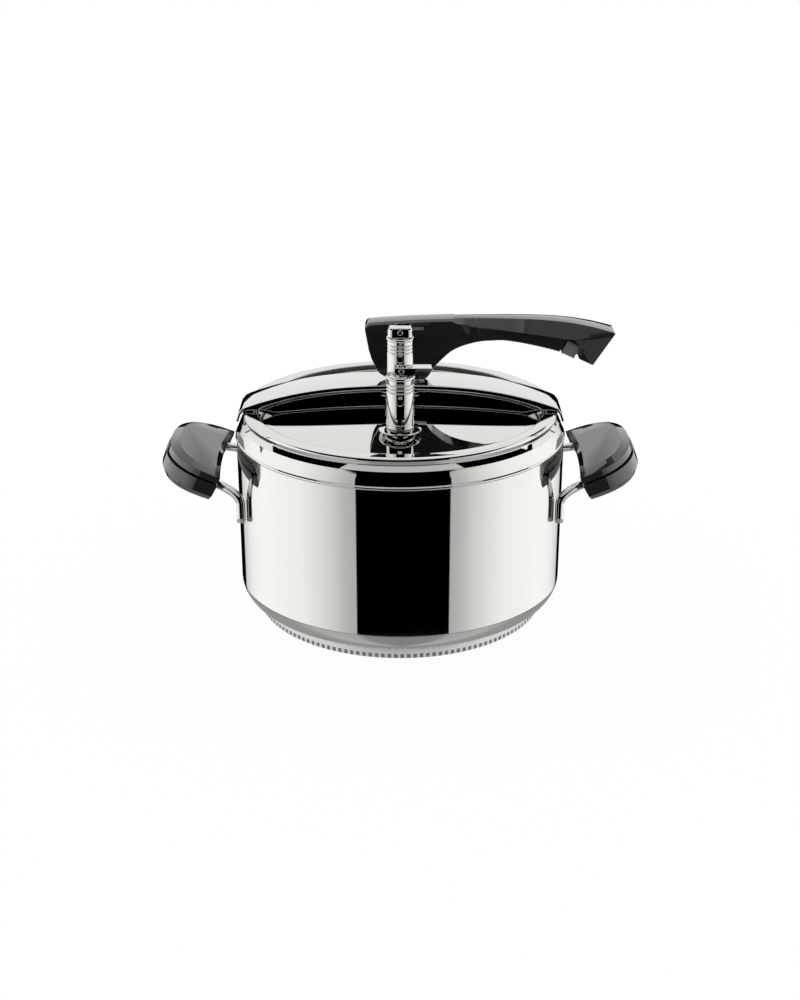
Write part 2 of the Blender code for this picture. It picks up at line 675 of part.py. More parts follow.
def lever_ring(xt, xb, top_half, bevel_half, bevel_z, core_half):
    """Cross-section: crowned top, bevel, then the core; xt is the top's station and xb the underside's."""
    top = lever_crown(xt)
    low = lever_under(xb)
    mid = xt if xt == xb else xt + 0.1 * (xb - xt)
    core_z = bevel_z - 0.9
    half = [(xt, top_half, top - 0.35), (xt, bevel_half, bevel_z), (mid, core_half, core_z)]
    half.append((xb, core_half, low + 0.5))
    half.append((xb, core_half - 0.5, low))
    front = [(x, -y, z) for x, y, z in half]
    return [(xt, 0.0, top)] + front + [(xb, 0.0, low)] + list(reversed(half))


def lever_rings():
    rings = []
    for x in (-23.2, -22.4, -20.8):
        inset = {-23.2: 3.2, -22.4: 1.2, -20.8: 0.2}[x]
        rings.append(foot_ring(x, inset))
    for x in (-18.0, -15.5, -13.0, -10.5, -8.0, -5.0, -2.0, 4.0, 12.0, 16.2, 18.9, 22.1, 26.4, 30.0, 34.0):
        rings.append(foot_ring(x, 0.0))
    for x in (37.0, 42.0, 48.0, 54.0, 61.0, 69.0, 78.0, 87.0, 96.0, 104.0):
        part = (x - 36.0) / 104.0
        top_half = 4.5 + 5.5 * max(part, 0.0) ** 1.4
        bevel_half = FOOT_HALF + 3.4 * max(part, 0.0) / 0.76
        bevel_z = 199.6 - 0.134 * (x - 37.0)
        core_half = between(x, [(61.0, FOOT_HALF), (69.0, 7.0)])
        rings.append(lever_ring(x, x, top_half, bevel_half, bevel_z, core_half))
    rings.append(lever_ring(110.0, 115.0, 7.9, 11.9, 189.8, 7.0))
    rings.append(lever_ring(114.6, 126.6, 8.2, 12.0, 189.6, 7.0))
    return rings + nose_rings()


def foot_ring(x, inset):
    top = lever_crown(x) - inset
    low = lever_under(x)
    half = FOOT_HALF
    heights = [low, low + 0.5]
    for wanted in (top - 3.2, top - 2.2, top - 0.25):
        heights.append(max(wanted, heights[-1] + 0.1))
    widths = (half - 0.5, half, half, half, 6.4)
    side = [(x, y, z) for y, z in reversed(list(zip(widths, heights)))]
    front = [(a, -b, c) for a, b, c in side]
    return [(x, 0.0, top)] + front + [(x, 0.0, low)] + list(reversed(side))


def nose_rings():
    """The flared nose: its side facets run from the bevel's corner to the tip."""
    start = [(114.9, 8.2, lever_crown(114.9) - 0.35), (114.9, 12.0, 189.5), (116.4, 11.7, 187.4)]
    start += [(126.6, 8.4, 171.9), (126.8, 7.9, 171.3)]
    middle = [(128.0, 9.2, lever_crown(128.0) - 0.35), (128.0, 11.0, 191.2), (127.9, 10.7, 189.2)]
    middle += [(127.4, 8.4, 172.1), (127.5, 7.9, 171.3)]
    end = [(141.2, 10.0, 193.7), (141.5, 9.8, 192.9), (140.4, 9.65, 190.9)]
    end += [(128.6, 8.4, 172.2), (128.2, 7.9, 171.3)]
    rings = []
    for side, top, bottom in (
        (start, (114.9, lever_crown(114.9)), (126.8, 171.2)),
        (middle, (128.0, lever_crown(128.0)), (127.5, 171.2)),
        (end, (141.2, 194.0), (128.2, 171.2)),
    ):
        front = [(x, -y, z) for x, y, z in side]
        low = [(bottom[0], 0.0, bottom[1])]
        rings.append([(top[0], 0.0, top[1])] + front + low + list(reversed(side)))
    return rings


def latch_point(along, depth):
    """(x, z) in the latch's frame: along the lever's underside, and up into the lever."""
    base = (107.0, 179.4)
    c = math.cos(LATCH_SLOPE)
    s = math.sin(LATCH_SLOPE)
    return (base[0] + along * c - depth * s, base[1] + along * s + depth * c)


def make_latch(lever):
    """A block under the grip with a narrower tail; the spring bears on the tail inside a blind well."""
    length = 9.4
    tall = 8.6
    slack = 0.4
    room_end = length + LATCH_TRAVEL + slack
    tail_end = room_end + slack
    rings = []
    for along, low, high, half in (
        (0.0, -slack, tall, LATCH_HALF),
        (length, -slack, tall, LATCH_HALF),
        (length + 0.05, 2.3, 7.1, 2.0),
        (tail_end, 2.3, 7.1, 2.0),
    ):
        x0, z0 = latch_point(along, low)
        x1, z1 = latch_point(along, high)
        rings.append([(x0, -half, z0), (x0, half, z0), (x1, half, z1), (x1, -half, z1)])
    start = latch_point(0.0, -slack)
    loft("latch_slider", rings, BLACK_LOOK, pivot=(start[0], 0.0, start[1]))
    room = [(-1.6, -9.0), (room_end, -9.0), (room_end, tall + GAP), (-1.6, tall + GAP)]
    cut(lever, cutter("latch_room", plate, [latch_point(*p) for p in room], 14.0))
    well_end = 18.6
    well = [(room_end - 1.0, 2.0), (well_end, 2.0), (well_end, 7.4), (room_end - 1.0, 7.4)]
    cut(lever, cutter("latch_well", plate, [latch_point(*p) for p in well], 2.3))
    foot = latch_point(tail_end, 4.7)
    axis = (math.cos(LATCH_SLOPE), 0.0, math.sin(LATCH_SLOPE))
    reach = well_end - tail_end - GAP
    coil("latch_spring", (foot[0], 0.0, foot[1]), 1.5, GAP, reach, 3, 0.3, STEEL_LOOK, axis=axis)


def make_lever():
    pivot = (0.0, 0.0, PIVOT_Z)
    lever = loft("lever_body", lever_rings(), BAKELITE_LOOK, pivot=pivot)
    web_z = PIVOT_Z + 9.2
    slot = [(-40.0, 150.0), (12.4, 150.0), (12.4, web_z), (-40.0, web_z)]
    cut(lever, cutter("foot_slot", plate, slot, SLOT_HALF))
    make_latch(lever)
    sole = [cam_point(math.radians(a), 0.0) for a in range(0, 33, 4)]
    fork = [(11.8, PIVOT_Z - CAM_H)] + sole + [(-16.4, 176.5), (-18.4, 186.0), (-17.0, 193.0)]
    fork += [(-15.0, web_z - GAP), (11.8, web_z - GAP)]
    fork_piece = plate("lever_fork", fork, FORK_OUT, BRUSHED_LOOK, pivot=pivot)
    throat = [(-40.0, 140.0), (40.0, 140.0), (40.0, PIVOT_Z + 7.2), (-40.0, PIVOT_Z + 7.2)]
    cut(fork_piece, cutter("fork_throat", plate, throat, FORK_IN))
    hole = ((0.0, -12.0, PIVOT_Z), (0.0, 12.0, PIVOT_Z))
    cut(fork_piece, cutter("fork_hole", rod, *hole, PIVOT_PIN_R + GAP, sides=24))
    ends = ((0.0, -FORK_OUT, PIVOT_Z), (0.0, FORK_OUT, PIVOT_Z))
    rod("lever_pin", *ends, PIVOT_PIN_R, STEEL_LOOK, sides=24, pivot=pivot)


STEEL_LOOK = (STEEL, 1.0, 0.12)
BRUSHED_LOOK = (BRUSHED, 1.0, 0.35)
ALUMINIUM_LOOK = (ALUMINIUM, 1.0, 0.45)
BAKELITE_LOOK = (BAKELITE, 0.0, 0.3)
BLACK_LOOK = (BLACK, 0.0, 0.35)
SILICONE_LOOK = (SILICONE, 0.0, 0.6)


def main():
    clear_scene()
    make_pot()
    make_grips()
    make_crossbar()
    make_lid()
    make_post()
    make_operating_valve()
    make_safety_valve()
    make_lever()


main()
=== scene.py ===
"""Stovetop pressure cooker: the looks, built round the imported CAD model.

Lengths are millimetres until a mesh is made, +Z up, +X along the lever, -Y towards the camera.
"""

import math

import bmesh
import bpy
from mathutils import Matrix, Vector


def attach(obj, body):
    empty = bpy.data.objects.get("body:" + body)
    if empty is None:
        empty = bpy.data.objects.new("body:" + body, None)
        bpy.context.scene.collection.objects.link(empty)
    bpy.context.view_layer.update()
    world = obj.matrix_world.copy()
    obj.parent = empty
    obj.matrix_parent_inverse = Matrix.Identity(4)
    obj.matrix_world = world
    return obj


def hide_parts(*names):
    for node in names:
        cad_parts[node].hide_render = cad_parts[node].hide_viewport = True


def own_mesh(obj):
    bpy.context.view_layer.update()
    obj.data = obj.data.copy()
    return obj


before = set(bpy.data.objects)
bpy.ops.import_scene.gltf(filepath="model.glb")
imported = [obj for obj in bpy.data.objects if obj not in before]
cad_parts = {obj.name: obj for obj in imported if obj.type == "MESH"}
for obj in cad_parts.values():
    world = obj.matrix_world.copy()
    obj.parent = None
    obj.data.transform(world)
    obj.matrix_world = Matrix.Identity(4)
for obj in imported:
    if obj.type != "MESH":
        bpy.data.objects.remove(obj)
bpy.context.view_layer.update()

MM = 0.001
GAP = 0.3
ACROSS = Vector((1.0, 0.0, 0.0))
UP = Vector((0.0, 0.0, 1.0))


# ---------- node helpers


def new_material(name):
    """A new material, its tree, its shader and the object's own coordinates, in metres."""
    made = bpy.data.materials.new(name)
    made.use_nodes = True
    tree = made.node_tree
    space = tree.nodes.new("ShaderNodeTexCoord").outputs["Object"]
    return made, tree, tree.nodes["Principled BSDF"], space


def wire(tree, node, values):
    """Feeds the node's inputs, each from a number, a colour, a vector or another node's output."""
    for key, value in values.items():
        socket = node.inputs[key]
        if isinstance(value, bpy.types.NodeSocket):
            tree.links.new(value, socket)
        else:
            socket.default_value = (*value, 1.0) if socket.type == "RGBA" else value


def maths(tree, operation, *values):
    """The result of an operation on numbers and on other nodes' outputs."""
    node = tree.nodes.new("ShaderNodeMath")
    node.operation = operation
    wire(tree, node, dict(enumerate(values)))
    return node.outputs[0]


def remap(tree, value, from_low, from_high, to_low, to_high, smooth=False):
    """Carries a value from one range over to another, and holds it inside the second."""
    node = tree.nodes.new("ShaderNodeMapRange")
    if smooth:
        node.interpolation_type = "SMOOTHSTEP"
    wire(tree, node, {"Value": value, "From Min": from_low, "From Max": from_high})
    wire(tree, node, {"To Min": to_low, "To Max": to_high})
    return node.outputs["Result"]


def mix(tree, factor, first, second):
    """A colour from first to second as factor goes from 0 to 1."""
    node = tree.nodes.new("ShaderNodeMix")
    node.data_type = "RGBA"
    wire(tree, node, {"Factor": factor, 6: first, 7: second})
    return node.outputs[2]


def band(tree, value, climb, fall, smooth=False):
    """0 below the two values of climb, 1 above them, and 0 again above the two values of fall."""
    up = remap(tree, value, *climb, 0.0, 1.0, smooth)
    return maths(tree, "MULTIPLY", up, remap(tree, value, *fall, 1.0, 0.0, smooth))


def noise(tree, vector, scale, detail, roughness=0.5):
    """Soft noise around 0.5, scale cells to the metre."""
    node = tree.nodes.new("ShaderNodeTexNoise")
    wire(tree, node, {"Vector": vector, "Scale": scale, "Detail": detail, "Roughness": roughness})
    return node.outputs["Fac"]


def split(tree, vector):
    """The X, Y and Z of a vector, as three outputs."""
    node = tree.nodes.new("ShaderNodeSeparateXYZ")
    wire(tree, node, {0: vector})
    return node.outputs


def from_axis(tree, x, y):
    """Distance from the Z axis."""
    squares = [maths(tree, "POWER", value, 2.0) for value in (x, y)]
    return maths(tree, "SQRT", maths(tree, "ADD", *squares))


def stretched(tree, vector, scale):
    """Coordinates scaled by axis, so that a pattern on them runs along the axis scaled least."""
    node = tree.nodes.new("ShaderNodeMapping")
    wire(tree, node, {"Vector": vector, "Scale": scale})
    return node.outputs["Vector"]


def around(tree, vector, turns, radial, upright):
    """Coordinates that follow a turned part round the Z axis: angle, radius and height, each scaled."""
    x, y, z = split(tree, vector)
    angle = maths(tree, "ARCTAN2", y, x)
    radius = from_axis(tree, x, y)
    joined = tree.nodes.new("ShaderNodeCombineXYZ")
    for key, value, scale in (("X", angle, turns), ("Y", radius, radial), ("Z", z, upright)):
        wire(tree, joined, {key: maths(tree, "MULTIPLY", value, scale)})
    return joined.outputs[0]


def bump(tree, shader, height, strength, distance):
    """Relief that shows in the shading only; distance is in metres."""
    node = tree.nodes.new("ShaderNodeBump")
    wire(tree, node, {"Height": height, "Strength": strength, "Distance": distance})
    wire(tree, shader, {"Normal": node.outputs["Normal"]})


# ---------- materials

STEEL_TINT = (0.700, 0.688, 0.668)
STEEL_RUBBED = (0.688, 0.676, 0.657)
STEEL_DARK = (0.640, 0.628, 0.608)
BAKELITE_TINT = (0.0105, 0.0105, 0.0100)
BAKELITE_FLOW = (0.0165, 0.0160, 0.0152)
BAKELITE_FLECK = (0.032, 0.031, 0.029)
BAKELITE_PAINTED_SHEEN = (0.045, 0.0445, 0.043)
BASE_R = 99.1
NOTCH_PAINTED_SHADE = (0.34, 0.335, 0.325)


def polished_steel(name, turned):
    """Mirror-polished stainless: soft haze, and hairlines round a turned part or along a flat one."""
    made, tree, shader, space = new_material(name)
    cloud = noise(tree, space, 18.0, 3.0)
    tint = mix(tree, remap(tree, cloud, 0.35, 0.75, 0.0, 1.0, True), STEEL_TINT, STEEL_RUBBED)
    if turned:
        lines = around(tree, space, 1.2, 9000.0, 9000.0)
    else:
        lines = stretched(tree, space, (12.0, 2500.0, 2500.0))
    hair = noise(tree, lines, 1.0, 2.0)
    haze = remap(tree, cloud, 0.3, 0.8, 0.012, 0.030)
    rough = maths(tree, "ADD", haze, remap(tree, hair, 0.45, 0.8, 0.0, 0.014))
    wire(tree, shader, {"Base Color": tint, "Metallic": 1.0, "Roughness": rough})
    bump(tree, shader, hair, 0.008, 0.00001)
    return made


def satin_steel():
    """Turned or brushed steel: fine lines round the axis over a satin finish."""
    made, tree, shader, space = new_material("satin_steel")
    lines = around(tree, space, 3.0, 5200.0, 5200.0)
    hair = noise(tree, lines, 1.0, 4.0, 0.65)
    cloud = noise(tree, space, 30.0, 3.0)
    tint = mix(tree, hair, STEEL_TINT, STEEL_DARK)
    brushed = remap(tree, hair, 0.3, 0.7, 0.26, 0.40)
    rough = maths(tree, "ADD", brushed, remap(tree, cloud, 0.3, 0.8, 0.0, 0.06))
    wire(tree, shader, {"Base Color": tint, "Metallic": 1.0, "Roughness": rough, "Anisotropic": 0.5})
    bump(tree, shader, hair, 0.15, 0.00004)
    return made


def base_ring_steel():
    """The pressed edge of the base: pale and even as if bead-blasted, with painted shade darkening the colour
    inside its notches.
    """
    made, tree, shader, space = new_material("base_ring_steel")
    grain = noise(tree, space, 2600.0, 3.0)
    cloud = noise(tree, space, 40.0, 2.0)
    x, y, z = split(tree, space)
    inset = remap(tree, from_axis(tree, x, y), (BASE_R - 1.2) * MM, (BASE_R - 0.2) * MM, 1.0, 0.0)
    level = band(tree, z, (0.3 * MM, 0.6 * MM), (4.5 * MM, 5.5 * MM))
    tint = mix(tree, grain, (0.80, 0.79, 0.77), (0.70, 0.69, 0.67))
    # Painted shade: the notch recesses, inset from the rim and within the notch band, get a darker colour.
    tint = mix(tree, maths(tree, "MULTIPLY", inset, level), tint, NOTCH_PAINTED_SHADE)
    rough = remap(tree, cloud, 0.3, 0.7, 0.46, 0.58)
    wire(tree, shader, {"Base Color": tint, "Metallic": 0.55, "Roughness": rough})
    bump(tree, shader, grain, 0.12, 0.00003)
    return made


def cast_aluminium():
    """The heat-spreading disc: dull grey with an uneven cast grain."""
    made, tree, shader, space = new_material("cast_aluminium")
    grain = noise(tree, space, 900.0, 4.0, 0.6)
    tint = mix(tree, grain, (0.62, 0.63, 0.64), (0.50, 0.51, 0.52))
    rough = remap(tree, grain, 0.3, 0.7, 0.40, 0.58)
    wire(tree, shader, {"Base Color": tint, "Metallic": 1.0, "Roughness": rough})
    bump(tree, shader, grain, 0.3, 0.00006)
    return made


def bakelite():
    """Moulded phenolic: glossy black with flow clouds, flecks, rub marks, and a painted sheen that greys
    faces tilted partly upward.
    """
    made, tree, shader, space = new_material("bakelite")
    flow = noise(tree, stretched(tree, space, (30.0, 70.0, 70.0)), 1.0, 4.0, 0.6)
    fleck = noise(tree, space, 1500.0, 2.0)
    tone = mix(tree, remap(tree, flow, 0.35, 0.75, 0.0, 1.0, True), BAKELITE_TINT, BAKELITE_FLOW)
    specks = mix(tree, remap(tree, fleck, 0.70, 0.78, 0.0, 0.6), tone, BAKELITE_FLECK)
    # Painted sheen: faces tilted partly upward get a lighter grey colour, standing in for reflected overhead
    # light.
    upward = split(tree, tree.nodes.new("ShaderNodeTexCoord").outputs["Normal"])[2]
    painted_sheen_mask = band(tree, upward, (0.10, 0.18), (0.42, 0.50), True)
    tint = mix(tree, painted_sheen_mask, specks, BAKELITE_PAINTED_SHEEN)
    rub = noise(tree, stretched(tree, space, (60.0, 900.0, 500.0)), 1.0, 3.0, 0.55)
    gloss = remap(tree, flow, 0.3, 0.7, 0.045, 0.07)
    rough = maths(tree, "ADD", gloss, remap(tree, rub, 0.5, 0.8, 0.0, 0.03))
    wire(tree, shader, {"Base Color": tint, "Roughness": rough, "IOR": 1.62})
    wire(tree, shader, {"Coat Weight": 0.45, "Coat Roughness": 0.05})
    ripple = noise(tree, space, 420.0, 2.0)
    bump(tree, shader, ripple, 0.015, 0.00003)
    return made


def satin_plastic():
    """Injection-moulded latch: charcoal with a spark-eroded grain."""
    made, tree, shader, space = new_material("satin_plastic")
    grain = noise(tree, space, 2200.0, 3.0, 0.6)
    cloud = noise(tree, space, 90.0, 2.0)
    tint = mix(tree, cloud, (0.085, 0.083, 0.079), (0.115, 0.112, 0.106))
    wire(tree, shader, {"Base Color": tint, "Roughness": remap(tree, grain, 0.3, 0.7, 0.38, 0.52)})
    bump(tree, shader, grain, 0.22, 0.00005)
    return made


def silicone():
    """Seals: dark grey rubber with a dusty, slightly velvety surface."""
    made, tree, shader, space = new_material("silicone")
    cloud = noise(tree, space, 60.0, 3.0)
    fine = noise(tree, space, 1800.0, 2.0)
    tint = mix(tree, cloud, (0.060, 0.060, 0.060), (0.085, 0.084, 0.082))
    rough = remap(tree, fine, 0.3, 0.7, 0.48, 0.60)
    wire(tree, shader, {"Base Color": tint, "Roughness": rough, "Sheen Weight": 0.15})
    bump(tree, shader, fine, 0.15, 0.00004)
    return made


LOOKS = {
    "polished": polished_steel("polished_steel", turned=True),
    "polished_flat": polished_steel("polished_steel_flat", turned=False),
    "satin": satin_steel(),
    "ring": base_ring_steel(),
    "aluminium": cast_aluminium(),
    "bakelite": bakelite(),
    "plastic": satin_plastic(),
    "silicone": silicone(),
}


# ---------- mesh helpers


def fillet(points, radius, steps=4, closed=True):
    """Rounds each corner of an outline with an arc of about this radius, less where a side is short."""
    rounded = []
    count = len(points)
    for i, here in enumerate(points):
        if not closed and i in (0, count - 1):
            rounded.append(here)
            continue
        before = Vector(points[i - 1]) - Vector(here)
        after = Vector(points[(i + 1) % count]) - Vector(here)
        if before.length < 1e-6 or after.length < 1e-6:
            rounded.append(here)
            continue
        between = before.angle(after, math.pi)
        reach = min(radius / max(math.tan(between / 2.0), 1e-3), before.length * 0.45, after.length * 0.45)
        if here[0] == 0.0 or reach < 0.02:
            rounded.append(here)
            continue
        start = Vector(here) + before.normalized() * reach
        end = Vector(here) + after.normalized() * reach
        for k in range(steps + 1):
            t = k / steps
            rounded.append(tuple(start * (1 - t) ** 2 + Vector(here) * 2 * t * (1 - t) + end * t * t))
    return rounded


def piece(name, points, faces, look, body, node=None, bevel=0.0, angle=30.0, second=None, second_faces=()):
    """One mesh object from millimetre points, riding on a body; node is the CAD node that it replaces."""
    mesh = bpy.data.meshes.new(name)
    mesh.from_pydata([tuple(Vector(p) * MM) for p in points], [], faces)
    work = bmesh.new()
    work.from_mesh(mesh)
    work.faces.ensure_lookup_table()
    for index in second_faces:
        work.faces[index].material_index = 1
    bmesh.ops.remove_doubles(work, verts=work.verts, dist=1e-7)
    bmesh.ops.recalc_face_normals(work, faces=work.faces)
    work.to_mesh(mesh)
    work.free()
    mesh.shade_smooth()
    mesh.set_sharp_from_angle(angle=math.radians(angle))
    mesh.materials.append(LOOKS[look])
    if second:
        mesh.materials.append(LOOKS[second])
    obj = bpy.data.objects.new(name, mesh)
    bpy.context.scene.collection.objects.link(obj)
    if bevel:
        soften(obj, bevel)
    if body:
        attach(obj, body)
    if node:
        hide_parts(node)
    return obj


def soften(obj, width, segments=3, angle=28.0):
    """Eases the sharp edges with a small bevel."""
    step = obj.modifiers.new("edges", "BEVEL")
    step.width = width * MM
    step.segments = segments
    step.limit_method = "ANGLE"
    step.angle_limit = math.radians(angle)
    step.harden_normals = False
    step.use_clamp_overlap = True


def turned_faces(rings, steps):
    """Faces from each ring of point numbers to the next, round to the first, and each face's own ring."""
    faces = []
    owner = []
    for k, low in enumerate(rings):
        high = rings[(k + 1) % len(rings)]
        if len(low) == 1 and len(high) == 1:
            continue
        for i in range(steps):
            j = (i + 1) % steps
            corners = [low[i % len(low)], low[j % len(low)], high[j % len(high)], high[i % len(high)]]
            faces.append(tuple(dict.fromkeys(corners)))
            owner.append(k)
    return faces, owner


def lathe_mesh(profile, steps, centre_y=0.0, dent=None):
    """A closed (radius, z) loop turned about a vertical axis; dent(i, z) is how far a point is pressed in."""
    points = []
    rings = []
    for radius, z in profile:
        count = 1 if radius == 0.0 else steps
        rings.append(range(len(points), len(points) + count))
        for i in range(count):
            turn = 2.0 * math.pi * i / steps
            reach = radius - dent(i, z) if dent else radius
            points.append((reach * math.cos(turn), centre_y + reach * math.sin(turn), z))
    return points, *turned_faces(rings, steps)


def lathe(name, profile, look, body, node, steps, centre_y=0.0, **more):
    """A turned piece."""
    points, faces, _ = lathe_mesh(profile, steps, centre_y)
    return piece(name, points, faces, look, body, node, **more)


def loft_mesh(rings):
    """A skin over equal rings of points, with a flat face on each end."""
    size = len(rings[0])
    points = [p for ring in rings for p in ring]
    faces = []
    for k in range(len(rings) - 1):
        low = k * size
        high = low + size
        for i in range(size):
            j = (i + 1) % size
            faces.append((low + i, low + j, high + j, high + i))
    faces.append(tuple(range(size)))
    faces.append(tuple(range((len(rings) - 1) * size, len(rings) * size)))
    return points, faces


def circle(centre, one, other, radius, count):
    """Points round centre, in the plane of the unit vectors one and other."""
    ring = []
    for k in range(count):
        turn = 2.0 * math.pi * k / count
        ring.append(tuple(Vector(centre) + radius * (math.cos(turn) * one + math.sin(turn) * other)))
    return ring


def tube_rings(path, radius, sides, ends=0.0):
    """Rings of points round a path, carried along it without twist; ends rounds the two tips."""
    path = [Vector(p) for p in path]
    sizes = [radius] * len(path)
    if ends:
        ahead = (path[1] - path[0]).normalized()
        behind = (path[-2] - path[-1]).normalized()
        path = [path[0], path[0] + ahead * ends * 0.3, path[0] + ahead * ends] + path[1:-1] + [
            path[-1] + behind * ends, path[-1] + behind * ends * 0.3, path[-1]]
        sizes = [radius - ends, radius - ends * 0.3, radius] + [radius] * (len(path) - 6)
        sizes += [radius, radius - ends * 0.3, radius - ends]
    rings = []
    side = (path[1] - path[0]).normalized().orthogonal().normalized()
    for i, spot in enumerate(path):
        ahead = (path[min(i + 1, len(path) - 1)] - path[max(i - 1, 0)]).normalized()
        side = (side - ahead * side.dot(ahead)).normalized()
        rings.append(circle(spot, side, ahead.cross(side), sizes[i], sides))
    return rings


def tool(name, points, faces):
    """A hidden cutter."""
    obj = piece(name, points, faces, "plastic", None)
    obj.hide_render = True
    obj.hide_viewport = True
    return obj


def rod_tool(name, start, end, radius, sides=32):
    """A round cutter from start to end."""
    return tool(name, *loft_mesh(tube_rings([start, end], radius, sides)))


def eye_tool(x, y, z, radius):
    """A cutter for a hole drilled across a small piece, along Y."""
    return rod_tool("eye", (x, y - 8.5, z), (x, y + 8.5, z), radius)


def plate_rings(outline, half, middle):
    """The two sides of a plate with an (x, z) outline, half its thickness either side of y = middle."""
    return [[(x, middle + y, z) for x, z in outline] for y in (-half, half)]


def plate_tool(name, outline, half, middle=0.0):
    """A cutter shaped like a plate."""
    return tool(name, *loft_mesh(plate_rings(outline, half, middle)))


def carve(obj, tools, bevel=0.0, angle=30.0):
    """Cuts the tools out and keeps the result as the piece's own mesh, with its new edges eased."""
    obj.modifiers.clear()
    for cutter in tools:
        cutter.hide_viewport = False
        step = obj.modifiers.new(cutter.name, "BOOLEAN")
        step.operation = "DIFFERENCE"
        step.solver = "EXACT"
        step.object = cutter
    bpy.context.view_layer.update()
    graph = bpy.context.evaluated_depsgraph_get()
    made = bpy.data.meshes.new_from_object(obj.evaluated_get(graph))
    obj.modifiers.clear()
    obj.data = made
    for cutter in tools:
        bpy.data.objects.remove(cutter, do_unlink=True)
    work = bmesh.new()
    work.from_mesh(made)
    bmesh.ops.remove_doubles(work, verts=work.verts, dist=2e-6)
    bmesh.ops.dissolve_degenerate(work, edges=work.edges, dist=2e-6)
    work.to_mesh(made)
    work.free()
    made.shade_smooth()
    made.set_sharp_from_angle(angle=math.radians(angle))
    if bevel:
        soften(obj, bevel, segments=2, angle=40.0)


# ---------- pot and base

POT_R = 111.0
POT_FLOOR_Z = 7.8
CORNER_R = 14.0
WALL = 1.6
BASE_H = 7.4
BASE_SHEET = 0.9
NOTCHES = 148
NOTCH_DEEP = 1.6
NOTCH_LOW = 0.45
NOTCH_HIGH = 3.3


def corner_arc(radius, start, end):
    """The curve between the wall and the floor, from one angle to another."""
    steps = 24
    x = POT_R - CORNER_R
    z = POT_FLOOR_Z + CORNER_R
    arc = []
    for i in range(steps + 1):
        turn = math.radians(start + (end - start) * i / steps)
        arc.append((x + radius * math.cos(turn), z + radius * math.sin(turn)))
    return arc


def make_pot():
    """Wall, bead, stepped neck and rolled lip, then the satin inside back down to the floor."""
    neck = [(POT_R, 22.3), (POT_R, 80.0), (POT_R, 121.3), (POT_R, 122.2), (111.6, 122.5), (111.6, 123.5)]
    neck += [(110.9, 124.2), (109.3, 128.6), (107.5, 132.8), (105.0, 136.0), (105.4, 136.5), (106.2, 139.2)]
    neck += [(105.5, 140.5), (104.3, 141.2), (97.4, 141.1), (96.6, 140.3), (97.4, 139.5), (103.4, 139.5)]
    neck += [(104.6, 138.4), (103.8, 135.9), (103.8, 134.6), (106.0, 131.6), (107.6, 127.9), (109.4, 123.4)]
    outer = [(0.0, POT_FLOOR_Z)] + corner_arc(CORNER_R, -90.0, 0.0)
    middle = fillet(neck, 0.9, closed=False)
    inner = corner_arc(CORNER_R - WALL, 0.0, -90.0) + [(0.0, POT_FLOOR_Z + WALL)]
    points, faces, owner = lathe_mesh(outer + middle + inner, steps=256)
    inside_neck = 12
    inside_from = len(outer) + len(middle) - inside_neck
    inside = [i for i, k in enumerate(owner) if k >= inside_from]
    piece("pot_shell", points, faces, "polished", "cooker", "pot_body",
          second="satin", second_faces=inside, angle=40.0)


def make_base():
    """A shallow tray with a ring of notches pressed into its lower edge."""
    per_notch = 6
    pressed_in = (1, 2, 3)
    inner = BASE_R - 2.0

    def dent(i, z):
        return NOTCH_DEEP if z in (NOTCH_LOW, NOTCH_HIGH) and i % per_notch in pressed_in else 0.0

    profile = [(0.0, 0.0), (BASE_R - 1.6, 0.0), (BASE_R - 0.5, 0.12), (BASE_R, NOTCH_LOW)]
    profile += [(BASE_R, NOTCH_HIGH + rise) for rise in (0.0, 0.15, 0.3)] + [(BASE_R, BASE_H - 1.0)]
    profile += [(BASE_R - 0.3, BASE_H - 0.3), (BASE_R - 1.0, BASE_H), (inner, BASE_H)]
    profile += [(inner, BASE_SHEET), (0.0, BASE_SHEET)]
    points, faces, _ = lathe_mesh(profile, steps=NOTCHES * per_notch, dent=dent)
    piece("base_tray", points, faces, "ring", "cooker", "base_cap", angle=35.0)


# ---------- side grips

GRIP_X = 121.0
GRIP_Z = 101.0
GRIP_TILT = math.radians(21.0)
GRIP_LONG = 40.2
GRIP_HALF = 46.5
GRIP_POWER = 2.6
GRIP_DISH = 2.6
SCREW_LONG = 18.0
SCREW_Y = 22.0
WIRE_R = 2.9
WIRE_HALF = 36.0
WIRE_LONG = 30.0
WIRE_NORMAL = -3.6
LEG_X = 105.8
LEG_Y = 43.5
LEG_LOW_Z = 73.0
LEG_HIGH_Z = 86.0
LEG_BEND_Z = 93.5
SLIT = 0.9


def grip_point(side, along, across, normal):
    """A point of a grip: along it away from the pot, across it, and square to its slope."""
    x = GRIP_X + along * math.cos(GRIP_TILT) - normal * math.sin(GRIP_TILT)
    z = GRIP_Z + along * math.sin(GRIP_TILT) + normal * math.cos(GRIP_TILT)
    return (side * x, across, z)


def grip_outline(start, length, half, dish, count=56):
    """(along, across) points: a rounded D whose straight side is dished."""
    inner = 16
    outline = []
    for i in range(count + 1):
        turn = math.pi * i / count - math.pi / 2.0
        c = max(math.cos(turn), 0.0)
        s = math.sin(turn)
        along = start + length * c ** (2.0 / GRIP_POWER)
        outline.append((along, math.copysign(half * abs(s) ** (2.0 / GRIP_POWER), s)))
    for i in range(1, inner):
        across = half * (1.0 - 2.0 * i / inner)
        outline.append((start + dish * (1.0 - (across / half) ** 2), across))
    return outline


def grip_shell(name, side, levels, node):
    """levels: (start, length, half width, normal at the end near the pot, normal at the far end)."""
    rings = []
    for start, length, half, inside, outside in levels:
        ring = []
        for along, across in grip_outline(start, length, half, GRIP_DISH):
            normal = inside + (outside - inside) * along / GRIP_LONG
            ring.append(grip_point(side, along, across, normal))
        rings.append(ring)
    points, faces = loft_mesh(rings)
    return piece(name, points, faces, "bakelite", "cooker", node, angle=24.0)


